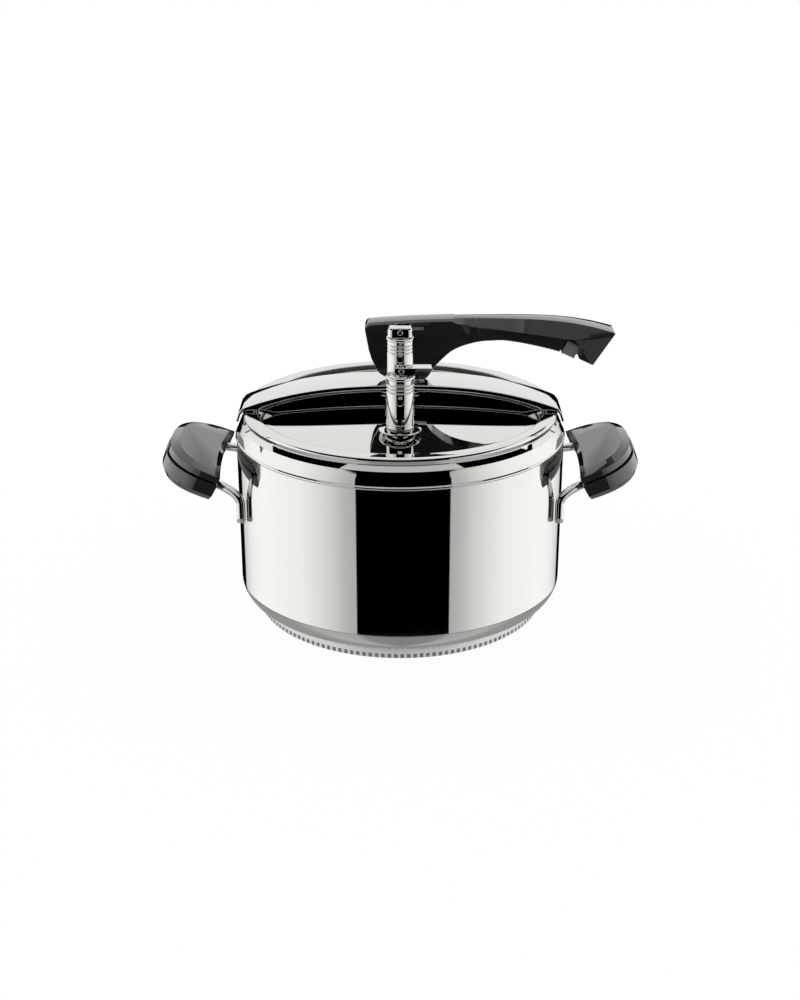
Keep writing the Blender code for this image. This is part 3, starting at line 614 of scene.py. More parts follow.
def bail_path(side):
    """Front leg up the wall, out into the grip, round inside it and back to the rear leg."""
    bends = 48
    loop = grip_outline(0.0, WIRE_LONG, WIRE_HALF, 0.0, bends)[:bends + 1]
    middle = [Vector(grip_point(side, along, across, WIRE_NORMAL)) for along, across in loop]
    low = Vector((side * LEG_X, -LEG_Y, LEG_LOW_Z))
    top = Vector((side * LEG_X, -LEG_Y, LEG_HIGH_Z))
    bend = Vector((side * LEG_X, -LEG_Y, LEG_BEND_Z))
    front = [low.lerp(top, i / 3.0) for i in range(4)]
    steps = 14
    for i in range(1, steps):
        t = i / steps
        front.append(top * (1 - t) ** 2 + bend * 2 * t * (1 - t) + middle[0] * t * t)
    back = [Vector((p.x, -p.y, p.z)) for p in reversed(front)]
    return front + middle + back


def make_grips():
    """On each side a bent wire, and round it two bakelite halves with a slit between them."""
    half = GRIP_HALF
    upper = [(-1.0, GRIP_LONG - 0.6, half, SLIT, SLIT), (-1.0, GRIP_LONG - 0.6, half, 5.2, 5.2)]
    upper.append((2.9, GRIP_LONG - 9.7, half - 7.0, 6.9, 8.8))
    lower = [(-1.0, GRIP_LONG + 0.4, half, -SLIT, -SLIT), (0.2, GRIP_LONG - 0.8, half, -9.4, -9.9)]
    lower.append((1.4, GRIP_LONG - 4.8, half - 3.4, -13.2, -14.2))
    for side, word in ((-1, "left"), (1, "right")):
        path = bail_path(side)
        wire = loft_mesh(tube_rings(path, WIRE_R, 28, ends=0.5))
        piece("bail_wire_" + word, *wire, "polished_flat", "cooker", "bail_" + word)
        top = grip_shell("shell_upper_" + word, side, upper, "grip_upper_" + word)
        soften(top, 0.35, angle=24.0)
        bottom = grip_shell("shell_lower_" + word, side, lower, "grip_lower_" + word)
        groove = tool("groove", *loft_mesh(tube_rings(path, WIRE_R + GAP, 16)))
        carve(bottom, [groove] + screw_tools(side), bevel=0.45, angle=24.0)


def screw_tools(side):
    """Counterbores for the two screws."""
    made = []
    for across in (-SCREW_Y, SCREW_Y):
        ends = [grip_point(side, SCREW_LONG, across, normal) for normal in (-20.0, -8.7)]
        made.append(rod_tool("bore", *ends, 3.9))
    return made


def recess_tools(face, axis, cross, other):
    """A cross recess: two tapering blades at right angles."""
    tools = []
    for one, two in ((cross, other), (other, cross)):
        rings = []
        for depth, reach in ((-0.6, 2.1), (1.3, 0.7)):
            corners = ((-1, -1), (1, -1), (1, 1), (-1, 1))
            rings.append([tuple(face + axis * depth + one * a * reach + two * b * 0.42) for a, b in corners])
        tools.append(tool("recess", *loft_mesh(rings)))
    return tools


def make_grip_screws():
    """Pan heads with a cross recess, sitting in the counterbores under the grips."""
    levels = ((-12.0, 3.0), (-11.75, 3.4), (-11.2, 3.6), (-9.0, 3.6), (-9.0, 1.8), (4.8, 1.8), (5.0, 1.5))
    for side, word in ((-1, "left"), (1, "right")):
        axis = Vector(grip_point(side, 0.0, 0.0, 1.0)) - Vector(grip_point(side, 0.0, 0.0, 0.0))
        cross = Vector((0.0, 1.0, 0.0))
        other = axis.cross(cross)
        for across, end in ((-SCREW_Y, "front"), (SCREW_Y, "rear")):
            rings = []
            for normal, radius in levels:
                rings.append(circle(grip_point(side, SCREW_LONG, across, normal), cross, other, radius, 40))
            name = "screw_" + word + "_" + end
            screw = piece(name, *loft_mesh(rings), "polished_flat", "cooker", "grip_" + name)
            face = Vector(grip_point(side, SCREW_LONG, across, levels[0][0]))
            carve(screw, recess_tools(face, axis, cross, other))


# ---------- crossbar

BAR_TOP_Z = 159.6
BAR_SAG = 14.8
BAR_SAG_X = 102.0
BAR_POWER = 2.5
BAR_HALF = 16.5
BAR_SHEET = 1.2
FLANGE_CLEAR = 0.5
FLANGE_RISE_X = 84.0
FLANGE_RISE = 8.0
OVER_RIM_Z = 142.1


def bar_top(x):
    """Height of the bar's upper face, sagging towards its ends."""
    return BAR_TOP_Z - BAR_SAG * (abs(x) / BAR_SAG_X) ** BAR_POWER


def flange_low(x):
    """Lower edge of the side flanges: just clear of the lid, then of the rim."""
    least = bar_top(x) - 1.5 * BAR_SHEET
    over_lid = lid_z(math.hypot(x, BAR_HALF)) + FLANGE_CLEAR
    part = min(max((abs(x) - FLANGE_RISE_X) / FLANGE_RISE, 0.0), 1.0)
    return min(over_lid + (OVER_RIM_Z - over_lid) * part, least)


def bar_stations():
    """(x, top z, flange bottom z) from the left tip to the right one."""
    count = 48
    right = [(BAR_SAG_X * i / count, bar_top(BAR_SAG_X * i / count)) for i in range(count + 1)]
    tip = [right[-1], (105.9, 142.9), (108.2, 139.9), (109.3, 136.6), (109.9, 134.8)]
    right += fillet(tip, 4.0, closed=False)[1:]
    full = [(x, z, flange_low(x) if x <= BAR_SAG_X else z - 1.5 * BAR_SHEET) for x, z in right]
    return [(-x, top, low) for x, top, low in reversed(full[1:])] + full


def make_crossbar():
    """A pressed spring strip with a flange folded down along each side and a round hole for the post."""
    stations = bar_stations()
    inner = BAR_HALF - BAR_SHEET
    rings = []
    for i, (x, top, low) in enumerate(stations):
        before = stations[max(i - 1, 0)]
        after = stations[min(i + 1, len(stations) - 1)]
        ahead = Vector((after[0] - before[0], after[1] - before[1])).normalized()
        deep = max(top - low, 1.5 * BAR_SHEET)
        shape = [(-BAR_HALF, deep), (-BAR_HALF, 0.0), (BAR_HALF, 0.0), (BAR_HALF, deep)]
        shape += [(inner, deep), (inner, BAR_SHEET), (-inner, BAR_SHEET), (-inner, deep)]
        rings.append([(x + ahead.y * d, y, top - ahead.x * d) for y, d in fillet(shape, 0.9)])
    bar = piece("spring_bar", *loft_mesh(rings), "polished_flat", "cooker", "crossbar", angle=40.0)
    hole = rod_tool("bar_hole", (0.0, 0.0, BAR_TOP_Z - 6.0), (0.0, 0.0, BAR_TOP_Z + 4.0), POST_R + 0.6, 64)
    carve(bar, [hole], angle=40.0)


# ---------- lid and post

LID_TOP_Z = 145.0
LID_DOME = 0.0007
LID_SHEET = 1.5
DOME_R = 95.0
POST_R = 5.0
PIVOT_Z = 186.0
VALVE_Y = -62.0
SAFETY_Y = -27.0


def lid_z(radius):
    """Height of the lid's upper face."""
    return LID_TOP_Z - LID_DOME * radius * radius


def make_lid():
    """The dome with its stepped-down edge, and the holes for the post and the valves."""
    count = 24
    top = [(DOME_R * i / count, lid_z(DOME_R * i / count)) for i in range(count + 1)]
    top += [(95.9, 138.45), (97.2, 137.8), (100.6, 137.8)]
    under = [(r, z - LID_SHEET) for r, z in reversed(top)]
    lid = lathe("lid_dome", under + top, "polished", "lid", "lid_plate", 256)
    holes = []
    for name, y, radius in (("post", 0.0, POST_R + GAP), ("valve", VALVE_Y, 6.3), ("safety", SAFETY_Y, 4.8)):
        holes.append(rod_tool("hole_" + name, (0.0, y, 125.0), (0.0, y, 155.0), radius, 48))
    carve(lid, holes)


def seated(radius_in, points):
    """A turned part's profile, rounded at its corners."""
    return fillet([(max(r, radius_in), z) for r, z in points], 0.35, 3)


def make_post():
    """The post with its eye for the lever's cross pin, and the collar that clamps the lid under it."""
    post = [(0.0, 130.0), (4.2, 130.0), (POST_R, 130.8), (POST_R, 188.6)]
    post += [(4.0, 190.3), (2.4, 191.2), (0.0, 191.2)]
    shaft = lathe("post_shaft", fillet(post, 0.8, closed=False), "polished", "lid", "centre_post", 64)
    carve(shaft, [eye_tool(0.0, 0.0, PIVOT_Z, 2.8)])
    inner = POST_R + GAP
    collar = seated(inner, [(inner, 145.1), (13.5, 145.1), (13.5, 151.4), (12.5, 152.4), (inner, 152.4)])
    lathe("post_flange", collar, "polished", "lid", "post_collar", 96)


# ---------- valves

TAB_X = 0.8
TAB_Z = 184.4
TAB_HALF = 4.4
TAB_LIFT = 1.6
CROSS_Z = 200.0


def grooved_side(radius, low, top, grooves):
    """Outer side of a valve tube from its foot up: ring grooves under a beaded mouth."""
    bead = radius + 0.4
    side = [(radius - 0.3, low), (radius, low + 0.4)]
    for z in grooves:
        side += [(radius, z - 0.55), (radius - 0.32, z - 0.25), (radius - 0.32, z + 0.25), (radius, z + 0.55)]
    side += [(radius, top - 1.9), (bead, top - 1.35), (bead, top - 0.45), (radius + 0.1, top)]
    return side


def valve_tube(name, node, centre_y, radius, low, top, wall, grooves, vent_z, vent_r):
    """A ribbed tube with a countersunk vent in its front."""
    inner = radius - wall
    profile = fillet(grooved_side(radius, low, top, grooves) + [(inner, top), (inner, low)], 0.3, 2)
    tube = lathe(name, profile, "polished", "lid", node, 96, centre_y, angle=50.0)
    hole = rod_tool("vent", (0.0, centre_y - 14.0, vent_z), (0.0, centre_y - 4.0, vent_z), vent_r)
    sink = []
    for out, wide in ((0.6, vent_r + 1.2), (-0.7, vent_r - 0.1)):
        sink.append(circle((0.0, centre_y - radius - out, vent_z), ACROSS, UP, wide, 40))
    carve(tube, [hole, tool("sink", *loft_mesh(sink))], angle=50.0)


def make_valves():
    """Steam valve in front, safety valve behind it: a tube and a flange each, and what moves in them."""
    ribs = (171.1, 173.4, 175.7)
    valve_tube("steam_tube", "valve_tube", VALVE_Y, 9.0, 146.7, 181.0, 1.6, ribs, 165.4, 1.9)
    ribs = (186.6, 188.9, 191.2)
    valve_tube("relief_tube", "safety_tube", SAFETY_Y, 8.65, 147.5, 196.0, 1.5, ribs, 182.7, 1.8)
    flange = [(1.8, 134.0), (6.0, 134.0), (6.0, 143.4), (9.4, 142.9), (9.4, 144.7), (13.6, 144.7)]
    flange += [(13.6, 145.8), (9.0, 146.4), (4.0, 146.4), (4.0, 148.6), (1.8, 148.6)]
    lathe("valve_flange", seated(1.8, flange), "polished", "lid", "valve_base", 96, VALVE_Y)
    small = [(1.6, 134.6), (4.5, 134.6), (4.5, 144.6), (10.0, 144.6), (10.0, 146.6), (9.4, 147.2)]
    small += [(3.6, 147.2), (3.6, 149.2), (1.6, 149.2)]
    lathe("safety_flange", seated(1.6, small), "polished", "lid", "safety_base", 96, SAFETY_Y)
    head = seated(2.5, [(2.5, 173.0), (7.1, 173.0), (7.1, 180.5), (6.5, 181.1), (2.5, 181.1)])
    lathe("valve_plug", head, "polished", "lid", "valve_head", 64, VALVE_Y)
    stem = [(0.0, 150.6), (5.0, 150.6), (5.0, 152.6), (1.6, 152.6), (1.6, 176.0), (2.2, 176.6), (2.2, 186.1)]
    stem = fillet(stem + [(1.9, 186.3), (0.0, 186.3)], 0.2, 2, closed=False)
    spindle = lathe("valve_spindle", stem, "polished", "stem", "valve_stem", 48, VALVE_Y)
    carve(spindle, [eye_tool(TAB_X, VALVE_Y, TAB_Z, 1.1)])
    make_tab()
    make_cap()


def make_tab():
    """Release tab: a flat plate over a cam heel, forked round the stem."""
    lift = TAB_LIFT / math.radians(90.0)
    least = 3.0
    steps = 12
    outline = []
    for i in range(steps + 1):
        turn = math.radians(90.0) * i / steps
        reach = least + lift * turn
        x = -reach * math.sin(turn) - lift * math.cos(turn)
        outline.append((TAB_X + x, TAB_Z - reach * math.cos(turn) + lift * math.sin(turn)))
    outline += [(-3.6, 186.0), (-3.0, 186.5), (19.8, 186.5), (20.2, 186.1), (20.2, 185.5), (10.4, 185.4)]
    outline += [(9.5, 184.6), (8.9, 182.2), (8.1, 181.4), (4.0, 181.4)]
    tab = piece("steam_tab", *loft_mesh(plate_rings(outline, TAB_HALF, VALVE_Y)), "polished_flat", "tab",
                "release_tab")
    slot = plate_tool("slot", [(-9.0, 176.0), (3.8, 176.0), (3.8, 192.0), (-9.0, 192.0)], 2.55, VALVE_Y)
    carve(tab, [slot, eye_tool(TAB_X, VALVE_Y, TAB_Z, 1.1)], bevel=0.2)
    hollow_rivet("tab_rivet", "tab_pin", "tab", TAB_X, VALVE_Y, TAB_Z, TAB_HALF + 0.5, 0.8)


def hollow_rivet(name, node, body, x, y, z, reach, radius):
    """A cross pin whose ends are spread into drilled, rounded heads."""
    head = [(1.5, 0.51), (0.35, 0.61), (0.1, 0.80), (0.0, 1.09), (0.06, 1.42), (0.2, 1.67), (0.38, 1.74)]
    head.append((0.42, radius))
    near = [(y - reach + depth, wide) for depth, wide in head]
    far = [(y + reach - depth, wide) for depth, wide in reversed(head)]
    rings = [circle((x, at, z), ACROSS, UP, wide, 32) for at, wide in near + far]
    piece(name, *loft_mesh(rings), "polished_flat", body, node)


def square_ring(centre_y, half_x, half_y, power, z):
    """A level superellipse: round at power 2, nearly square at 6 and over."""
    count = 72
    ring = []
    for i in range(count):
        turn = 2.0 * math.pi * i / count
        c = math.cos(turn)
        s = math.sin(turn)
        x = math.copysign(half_x * abs(c) ** (2.0 / power), c)
        ring.append((x, centre_y + math.copysign(half_y * abs(s) ** (2.0 / power), s), z))
    return ring


def make_cap():
    """The safety valve's head: a squarish block on a round shank, held by a cross pin."""
    shank = [(6.85, 6.85, 186.0), (6.85, 6.85, 196.3)]
    block = [(8.0, 5.7, 196.5), (8.2, 5.9, 196.8), (8.2, 5.9, 200.6), (8.0, 5.8, 201.4)]
    block += [(7.5, 5.5, 202.2), (6.9, 5.2, 202.8), (6.4, 4.9, 203.0)]
    rings = [square_ring(SAFETY_Y, half_x, half_y, 2.0, z) for half_x, half_y, z in shank]
    rings += [square_ring(SAFETY_Y, half_x, half_y, 3.6, z) for half_x, half_y, z in block]
    knob = piece("safety_knob", *loft_mesh(rings), "polished_flat", "popper", "safety_cap")
    socket = rod_tool("socket", (0.0, SAFETY_Y, 180.0), (0.0, SAFETY_Y, 194.3), 1.9)
    carve(knob, [eye_tool(0.0, SAFETY_Y, CROSS_Z, 1.25), socket])
    hollow_rivet("safety_rivet", "safety_pin", "popper", 0.0, SAFETY_Y, CROSS_Z, 6.3, 0.95)


# ---------- lever

CAM_CLEAR = 0.35
CAM_FALL = 2.6 / math.radians(90.0)
CAM_H = PIVOT_Z - BAR_TOP_Z - CAM_CLEAR
FOOT_HALF = 8.6
FOOT_END_X = 16.2
CORE_HALF = 7.0
EDGE_DROP = 0.35
SIGHT = [(-8.0, 195.2), (15.4, 195.2), (15.4, 197.3), (-8.0, 197.3)]
LATCH_X = 107.0
LATCH_Z = 179.4
LATCH_SLOPE = math.atan2(-4.3, 8.9)
CATCH_HALF = 6.4
CATCH_LOW = -0.4
CATCH_HIGH = 8.6
TAIL = (2.3, 7.1, 2.0)
TAIL_END = 13.2
WELL_END = 18.6
LEVER_LEFT = [(-23.2, 195.0), (-21.6, 186.0), (-20.0, 177.3), (-12.1, 161.35)]
LEVER_UNDER = [(-12.1, 161.35), (FOOT_END_X, 161.35), (18.9, 163.7), (22.1, 169.0), (26.4, 173.8)]
LEVER_UNDER += [(33.0, 180.0), (39.0, 183.4), (46.1, 185.8), (52.7, 187.3), (60.6, 187.9)]
LEVER_UNDER += [(69.2, 187.6), (85.8, 184.8), (103.8, 180.4), (115.9, 176.2), (128.0, 170.7)]


def between(x, table):
    """Straight-line value of a short (x, value) list."""
    if x <= table[0][0]:
        return table[0][1]
    for (x0, v0), (x1, v1) in zip(table, table[1:]):
        if x <= x1:
            return v0 + (v1 - v0) * (x - x0) / (x1 - x0)
    return table[-1][1]


def eased(x, table):
    """Smooth value through the same points: a Catmull-Rom curve in x."""
    if x <= table[0][0]:
        return table[0][1]
    if x >= table[-1][0]:
        return table[-1][1]
    for i, ((x0, v0), (x1, v1)) in enumerate(zip(table, table[1:])):
        if x <= x1:
            xa, va = table[max(i - 1, 0)]
            xb, vb = table[min(i + 2, len(table) - 1)]
            m0 = (v1 - va) / (x1 - xa)
            m1 = (vb - v0) / (xb - x0)
            t = (x - x0) / (x1 - x0)
            h = x1 - x0
            return ((2 * t ** 3 - 3 * t ** 2 + 1) * v0 + (t ** 3 - 2 * t ** 2 + t) * h * m0
                    + (3 * t ** 2 - 2 * t ** 3) * v1 + (t ** 3 - t ** 2) * h * m1)


def lever_crown(x):
    """Height of the lever's top, highest a third of the way along and dropping towards the nose."""
    summit_x = 50.0
    summit_z = 202.7
    if x < summit_x:
        return summit_z - 2.8 * ((summit_x - x) / 70.0) ** 2
    return summit_z - 8.6 * ((x - summit_x) / 90.0) ** 3.6


def cam_point(turn):
    """A point of the foot's cam, which stays clear of the bar while the lever turns and the lid drops."""
    reach = CAM_H - CAM_CLEAR - CAM_FALL * turn
    x = -reach * math.sin(turn) + CAM_FALL * math.cos(turn)
    return (x, PIVOT_Z - reach * math.cos(turn) - CAM_FALL * math.sin(turn))


CAM_CURVE = [cam_point(math.radians(a)) for a in range(60, -1, -2)]


def lever_under(x):
    """Height of the lever's underside: foot, arch and tail, with the cam cut into the foot."""
    if x < LEVER_UNDER[0][0]:
        low = between(x, LEVER_LEFT)
    elif x < FOOT_END_X:
        low = LEVER_UNDER[0][1]
    else:
        low = eased(x, LEVER_UNDER[1:])
    if x < CAM_FALL:
        low = max(low, between(x, CAM_CURVE))
    return low


def section(top, half):
    """Closes a half section (from the top edge down) with a crowned top and its mirror image."""
    x0, z0 = top
    xe, ye, ze = half[0]
    crown = []
    for k in (0.0, 0.33, 0.66):
        crown.append((x0 + (xe - x0) * k, ye * k, z0 + (ze - z0) * k * k))
    front = [(x, -y, z) for x, y, z in crown[1:] + half]
    back = [(x, y, z) for x, y, z in reversed(crown[1:] + half)]
    low = (half[-1][0], 0.0, half[-1][2])
    return [crown[0]] + front + [low] + back


def lever_ring(xt, xb, top_half, bevel_half, bevel_z, core_half):
    """A section of the handle, standing at xt on top and at xb below: crown, bevel and narrower core."""
    top = lever_crown(xt)
    low = lever_under(xb)
    mid = xt if xt == xb else xt + 0.1 * (xb - xt)
    half = [(xt, top_half, top - EDGE_DROP), (xt, bevel_half, bevel_z), (mid, core_half, bevel_z - 0.9)]
    half += [(xb, core_half, low + 0.5), (xb, core_half - 0.5, low)]
    return section((xt, top), half)


def foot_ring(x, inset):
    """A section of the foot: parallel sides and a small chamfer, with its top lowered by inset."""
    top = lever_crown(x) - inset
    low = lever_under(x)
    heights = [low, low + 0.5]
    for wanted in (top - 2.2, top - 1.5, top - 0.25):
        heights.append(max(wanted, heights[-1] + 0.1))
    widths = (FOOT_HALF - 0.5, FOOT_HALF, FOOT_HALF, FOOT_HALF, 6.4)
    half = [(x, y, z) for y, z in reversed(list(zip(widths, heights)))]
    return section((x, top), half)


def steps_between(first, last, count):
    """count equal steps from first to last, both included."""
    return [first + (last - first) * i / count for i in range(count + 1)]


def lever_rings():
    """Rounded end, foot, handle whose bevel widens towards the nose, and the faceted nose."""
    handle_x = 37.0
    rings = []
    for x, inset in ((-23.2, 3.2), (-23.0, 2.2), (-22.4, 1.2), (-21.7, 0.6), (-20.8, 0.2)):
        rings.append(foot_ring(x, inset))
    for x in steps_between(-19.0, 34.0, 42):
        rings.append(foot_ring(x, 0.0))
    for x in steps_between(handle_x, 104.0, 34):
        part = (x - handle_x + 1.0) / 104.0
        top_half = 4.5 + 5.5 * part ** 1.4
        bevel_half = FOOT_HALF + 3.4 * part / 0.76
        bevel_z = 199.6 - 0.134 * (x - handle_x)
        core_half = between(x, [(61.0, FOOT_HALF), (69.0, CORE_HALF)])
        rings.append(lever_ring(x, x, top_half, bevel_half, bevel_z, core_half))
    rings.append(lever_ring(110.0, 115.0, 7.9, 11.9, 189.8, CORE_HALF))
    rings.append(lever_ring(114.6, 126.6, 8.2, 12.0, 189.6, CORE_HALF))
    return rings + nose_rings()


def nose_rings():
    """Three slanting sections, whose lower points hardly move while their tops run out to the nose."""
    start_top = lever_crown(114.9)
    start = [(114.9, 8.2, start_top - EDGE_DROP), (114.9, 12.0, 189.5), (116.4, 11.7, 187.4)]
    start += [(126.6, 8.4, 171.9), (126.8, 7.9, 171.3)]
    middle_top = lever_crown(128.0)
    middle = [(128.0, 9.2, middle_top - EDGE_DROP), (128.0, 11.0, 191.2), (127.9, 10.7, 189.2)]
    middle += [(127.4, 8.4, 172.1), (127.5, 7.9, 171.3)]
    end = [(141.2, 10.0, 193.7), (141.5, 9.8, 192.9), (140.4, 9.65, 190.9)]
    end += [(128.6, 8.4, 172.2), (128.2, 7.9, 171.3)]
    tops = ((114.9, start_top), (128.0, middle_top), (141.2, 194.0))
    return [section(top, half) for top, half in zip(tops, (start, middle, end))]


def latch_point(along, depth):
    """(x, z) of a point given along the catch's slanting track and up from it."""
    c = math.cos(LATCH_SLOPE)
    s = math.sin(LATCH_SLOPE)
    return (LATCH_X + along * c - depth * s, LATCH_Z + along * s + depth * c)


def make_lever():
    """The moulded lever, open under the foot for the fork and at the nose for the catch."""
    lever = piece("lever_shell", *loft_mesh(lever_rings()), "bakelite", "lever", "lever_body", angle=22.0)
    web_z = PIVOT_Z + 9.2
    slot = [(-40.0, 150.0), (12.4, 150.0), (12.4, web_z), (-40.0, web_z)]
    room = [(-1.6, -9.0), (12.8, -9.0), (12.8, 8.9), (-1.6, 8.9)]
    well = [(11.8, 2.0), (WELL_END, 2.0), (WELL_END, 7.4), (11.8, 7.4)]
    tools = [plate_tool("foot_slot", slot, 6.95)]
    tools.append(plate_tool("latch_room", [latch_point(*p) for p in room], 14.0))
    tools.append(plate_tool("latch_well", [latch_point(*p) for p in well], 2.3))
    for side in (-1, 1):
        tools.append(plate_tool("sight_groove", SIGHT, 0.6, side * (FOOT_HALF + 0.1)))
    carve(lever, tools, bevel=0.3, angle=22.0)
    for name, side in (("sight_strip_front", -1), ("sight_strip_back", 1)):
        piece(name, *loft_mesh(plate_rings(SIGHT, 0.15, side * (FOOT_HALF - 0.3))), "plastic", "lever")


def make_latch():
    """The sliding catch: ribbed where a finger pulls it, with a narrower tail running into the nose."""
    full = (CATCH_LOW, CATCH_HIGH, CATCH_HALF)
    grooved = (0.1, CATCH_HIGH, 6.1)
    levels = [(0.0, 0.0, 8.2, 6.0), (0.35, *full), (1.6, *full)]
    for i in range(4):
        start = 1.9 + 1.8 * i
        levels += [(start, *full), (start + 0.3, *grooved), (start + 0.8, *grooved), (start + 1.1, *full)]
    levels += [(9.1, *full), (9.4, -0.1, 8.3, 6.1), (9.45, *TAIL), (TAIL_END, *TAIL)]
    sections = []
    for along, low, high, half in levels:
        x0, z0 = latch_point(along, low)
        x1, z1 = latch_point(along, high)
        sections.append([(x0, -half, z0), (x0, half, z0), (x1, half, z1), (x1, -half, z1)])
    piece("latch_catch", *loft_mesh(sections), "plastic", "latch", "latch_slider", bevel=0.15)


def coil(node, body, base, axis, radius, length, turns, wire):
    """A compression spring that stands on base and runs its length along the axis."""
    axis = Vector(axis).normalized()
    side = axis.orthogonal().normalized()
    other = axis.cross(side)
    per_turn = 20
    path = []
    for i in range(turns * per_turn + 1):
        turn = 2.0 * math.pi * i / per_turn
        along = wire + (length - 2.0 * wire) * i / (turns * per_turn)
        path.append(Vector(base) + axis * along + (math.cos(turn) * side + math.sin(turn) * other) * radius)
    spring = piece(node + "_wire", *loft_mesh(tube_rings(path, wire, 8)), "satin", body, node)
    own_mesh(spring)


def make_springs():
    """One in each valve, under its head, and one behind the catch's tail."""
    coil("valve_spring", "lid", (0.0, VALVE_Y, 152.9), UP, 4.0, 19.8, 5, 0.5)
    coil("safety_spring", "lid", (0.0, SAFETY_Y, 153.5), UP, 4.0, 22.2, 5, 0.5)
    slope = (math.cos(LATCH_SLOPE), 0.0, math.sin(LATCH_SLOPE))
    foot = latch_point(TAIL_END + GAP, (TAIL[0] + TAIL[1]) / 2.0)
    length = WELL_END - TAIL_END - 2.0 * GAP
    coil("latch_spring", "lever", (foot[0], 0.0, foot[1]), slope, 1.5, length, 3, 0.3)


# ---------- carried-over nodes


def dress(node, look):
    """Gives a CAD node, kept as it is, a procedural material."""
    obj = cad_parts[node]
    obj.data.materials.clear()
    obj.data.materials.append(LOOKS[look])


def dress_carried_nodes():
    """The CAD nodes that need nothing but a material."""
    steel = ("post_washer", "post_nut", "valve_nut", "safety_nut", "safety_guide", "safety_plunger")
    for node in (*steel, "lever_pin"):
        dress(node, "polished_flat")
    dress("lever_fork", "satin")
    dress("base_core", "aluminium")
    for node in ("lid_gasket", "valve_seal", "safety_seal"):
        dress(node, "silicone")


# ---------- studio

STEEL_REFLECTS = 0.69
STUDIO_TURN = 2.1
TABLE_EDGE = -27.5


def panel_ramp(tree, bearing, stops, gain=1.0 / STEEL_REFLECTS):
    """A value by bearing. stops: (degrees from the camera side, brightness that the steel shows there)."""
    return curve(tree, bearing, [(degrees / 180.0, value * gain) for degrees, value in stops])


def curve(tree, value, points):
    """A piecewise-linear function of value, built from straight ramps added up."""
    total = points[0][1]
    for (x0, y0), (x1, y1) in zip(points, points[1:]):
        if abs(y1 - y0) > 1e-9:
            total = maths(tree, "ADD", remap(tree, value, x0, x1, 0.0, y1 - y0), total)
    return total


def rise(tree, height, edge, soft):
    """0 below the edge and 1 above it; edge is in hundreds of degrees."""
    start = maths(tree, "MULTIPLY", edge, 100.0)
    return remap(tree, height, start, maths(tree, "ADD", start, soft), 0.0, 1.0, True)


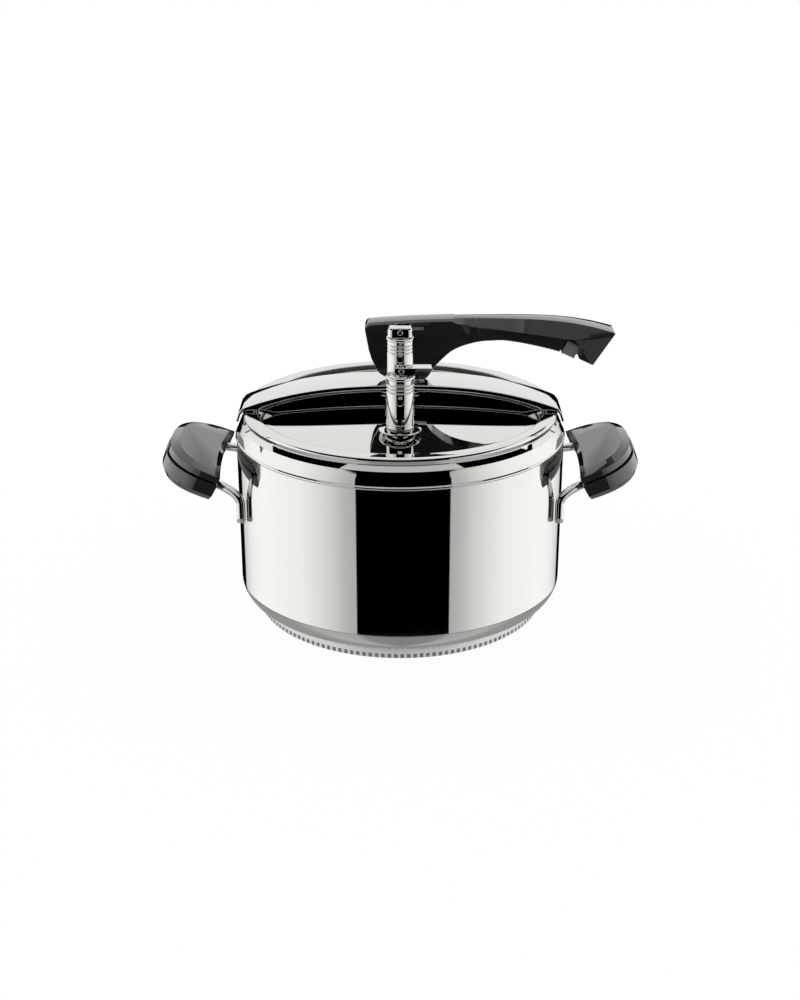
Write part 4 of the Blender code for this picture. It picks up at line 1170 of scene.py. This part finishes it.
def studio_light():
    """White surroundings for the eye and for soft light; what the steel mirrors is panels by direction."""
    world = bpy.data.worlds.new("studio")
    bpy.context.scene.world = world
    world.use_nodes = True
    world.cycles.sampling_method = "NONE"
    tree = world.node_tree
    space = tree.nodes.new("ShaderNodeTexCoord").outputs["Generated"]
    x, y, z = split(tree, space)
    bearing = maths(tree, "ARCTAN2", x, maths(tree, "MULTIPLY", y, -1.0))
    bearing = maths(tree, "ABSOLUTE", maths(tree, "SUBTRACT", bearing, math.radians(STUDIO_TURN)))
    bearing = maths(tree, "DIVIDE", bearing, math.pi)
    height = maths(tree, "DEGREES", maths(tree, "ARCSINE", z))
    low = panel_ramp(tree, bearing, (
        (0, 0.0), (32.3, 0.0), (33.0, 0.40), (40.9, 0.46), (48.4, 0.58), (60, 0.70), (75, 0.84), (105, 0.90),
        (112, 0.91), (124, 0.87), (136, 0.76), (143, 0.63), (150, 0.52), (152, 0.0), (180, 0.0)))
    high = ((0, 0.43), (40, 0.46), (70, 0.62), (100, 0.80), (140, 0.74), (180, 0.70))
    # Between the side panels' top edge and the ceiling panel's lower edge the studio is black.
    panel_top = ((0, -0.30), (32.3, -0.30), (33.1, 0.24), (104, 0.24), (112, 0.05))
    ceiling_low = ((0, 0.38), (32, 0.38), (64, 0.50), (104, 0.50), (112, 0.06))
    lit_low = rise(tree, height, panel_ramp(tree, bearing, panel_top, 1.0), 1.0)
    lit_high = rise(tree, height, panel_ramp(tree, bearing, ceiling_low, 1.0), 1.0)
    table = ((0, 0.21), (28, 0.23), (36, 0.36), (65, 0.40), (95, 0.28), (180, 0.25))
    fading = remap(tree, height, -33.0, TABLE_EDGE, 1.0, 0.70)
    table = maths(tree, "MULTIPLY", panel_ramp(tree, bearing, table), fading)
    ground = remap(tree, height, TABLE_EDGE - 0.7, TABLE_EDGE + 0.3, 1.0, 0.0, True)
    panels = mix(tree, lit_low, low, (0.0, 0.0, 0.0))
    panels = mix(tree, lit_high, panels, panel_ramp(tree, bearing, high))
    panels = mix(tree, ground, panels, table)
    path = tree.nodes.new("ShaderNodeLightPath")
    seen = mix(tree, path.outputs["Is Glossy Ray"], (1.06, 1.06, 1.06), panels)
    seen = mix(tree, path.outputs["Is Camera Ray"], seen, (1.0, 1.0, 1.0))
    wire(tree, tree.nodes["Background"], {"Color": seen})


def make_floor():
    """White paper that mostly glows by itself, so that only the contact shadow shows on it."""
    far = 9000.0
    white = 0.95
    glow = 0.95
    made, tree, shader, _ = new_material("paper_floor")
    paper = white * (1.0 - glow)
    wire(tree, shader, {"Base Color": (paper,) * 3, "Roughness": 0.9, "Specular IOR Level": 0.0})
    wire(tree, shader, {"Emission Color": (1.0, 1.0, 1.0), "Emission Strength": glow})
    LOOKS["floor"] = made
    points = [(-far, -far, 0.0), (far, -far, 0.0), (far, far, 0.0), (-far, far, 0.0)]
    floor = piece("floor", points, [(0, 1, 2, 3)], "floor", None)
    floor.visible_glossy = False


def make_camera():
    """Straight in front and looking down on the cooker."""
    data = bpy.data.cameras.new("camera")
    data.sensor_width = 36.0
    data.lens = 52.5
    camera = bpy.data.objects.new("camera", data)
    camera.location = (0.0, -0.9397, 0.4505)
    aim = Vector((-0.0001, 0.0, 0.0713)) - camera.location
    camera.rotation_euler = aim.to_track_quat("-Z", "Y").to_euler()
    bpy.context.scene.collection.objects.link(camera)
    bpy.context.scene.camera = camera


def main():
    """The cooker from the stove up, then the studio round it."""
    make_pot()
    make_base()
    make_grips()
    make_grip_screws()
    make_crossbar()
    make_lid()
    make_post()
    make_valves()
    make_lever()
    make_latch()
    make_springs()
    dress_carried_nodes()
    studio_light()
    make_floor()
    make_camera()
    bpy.context.scene.view_settings.view_transform = "Standard"


main()
bpy.context.view_layer.update()
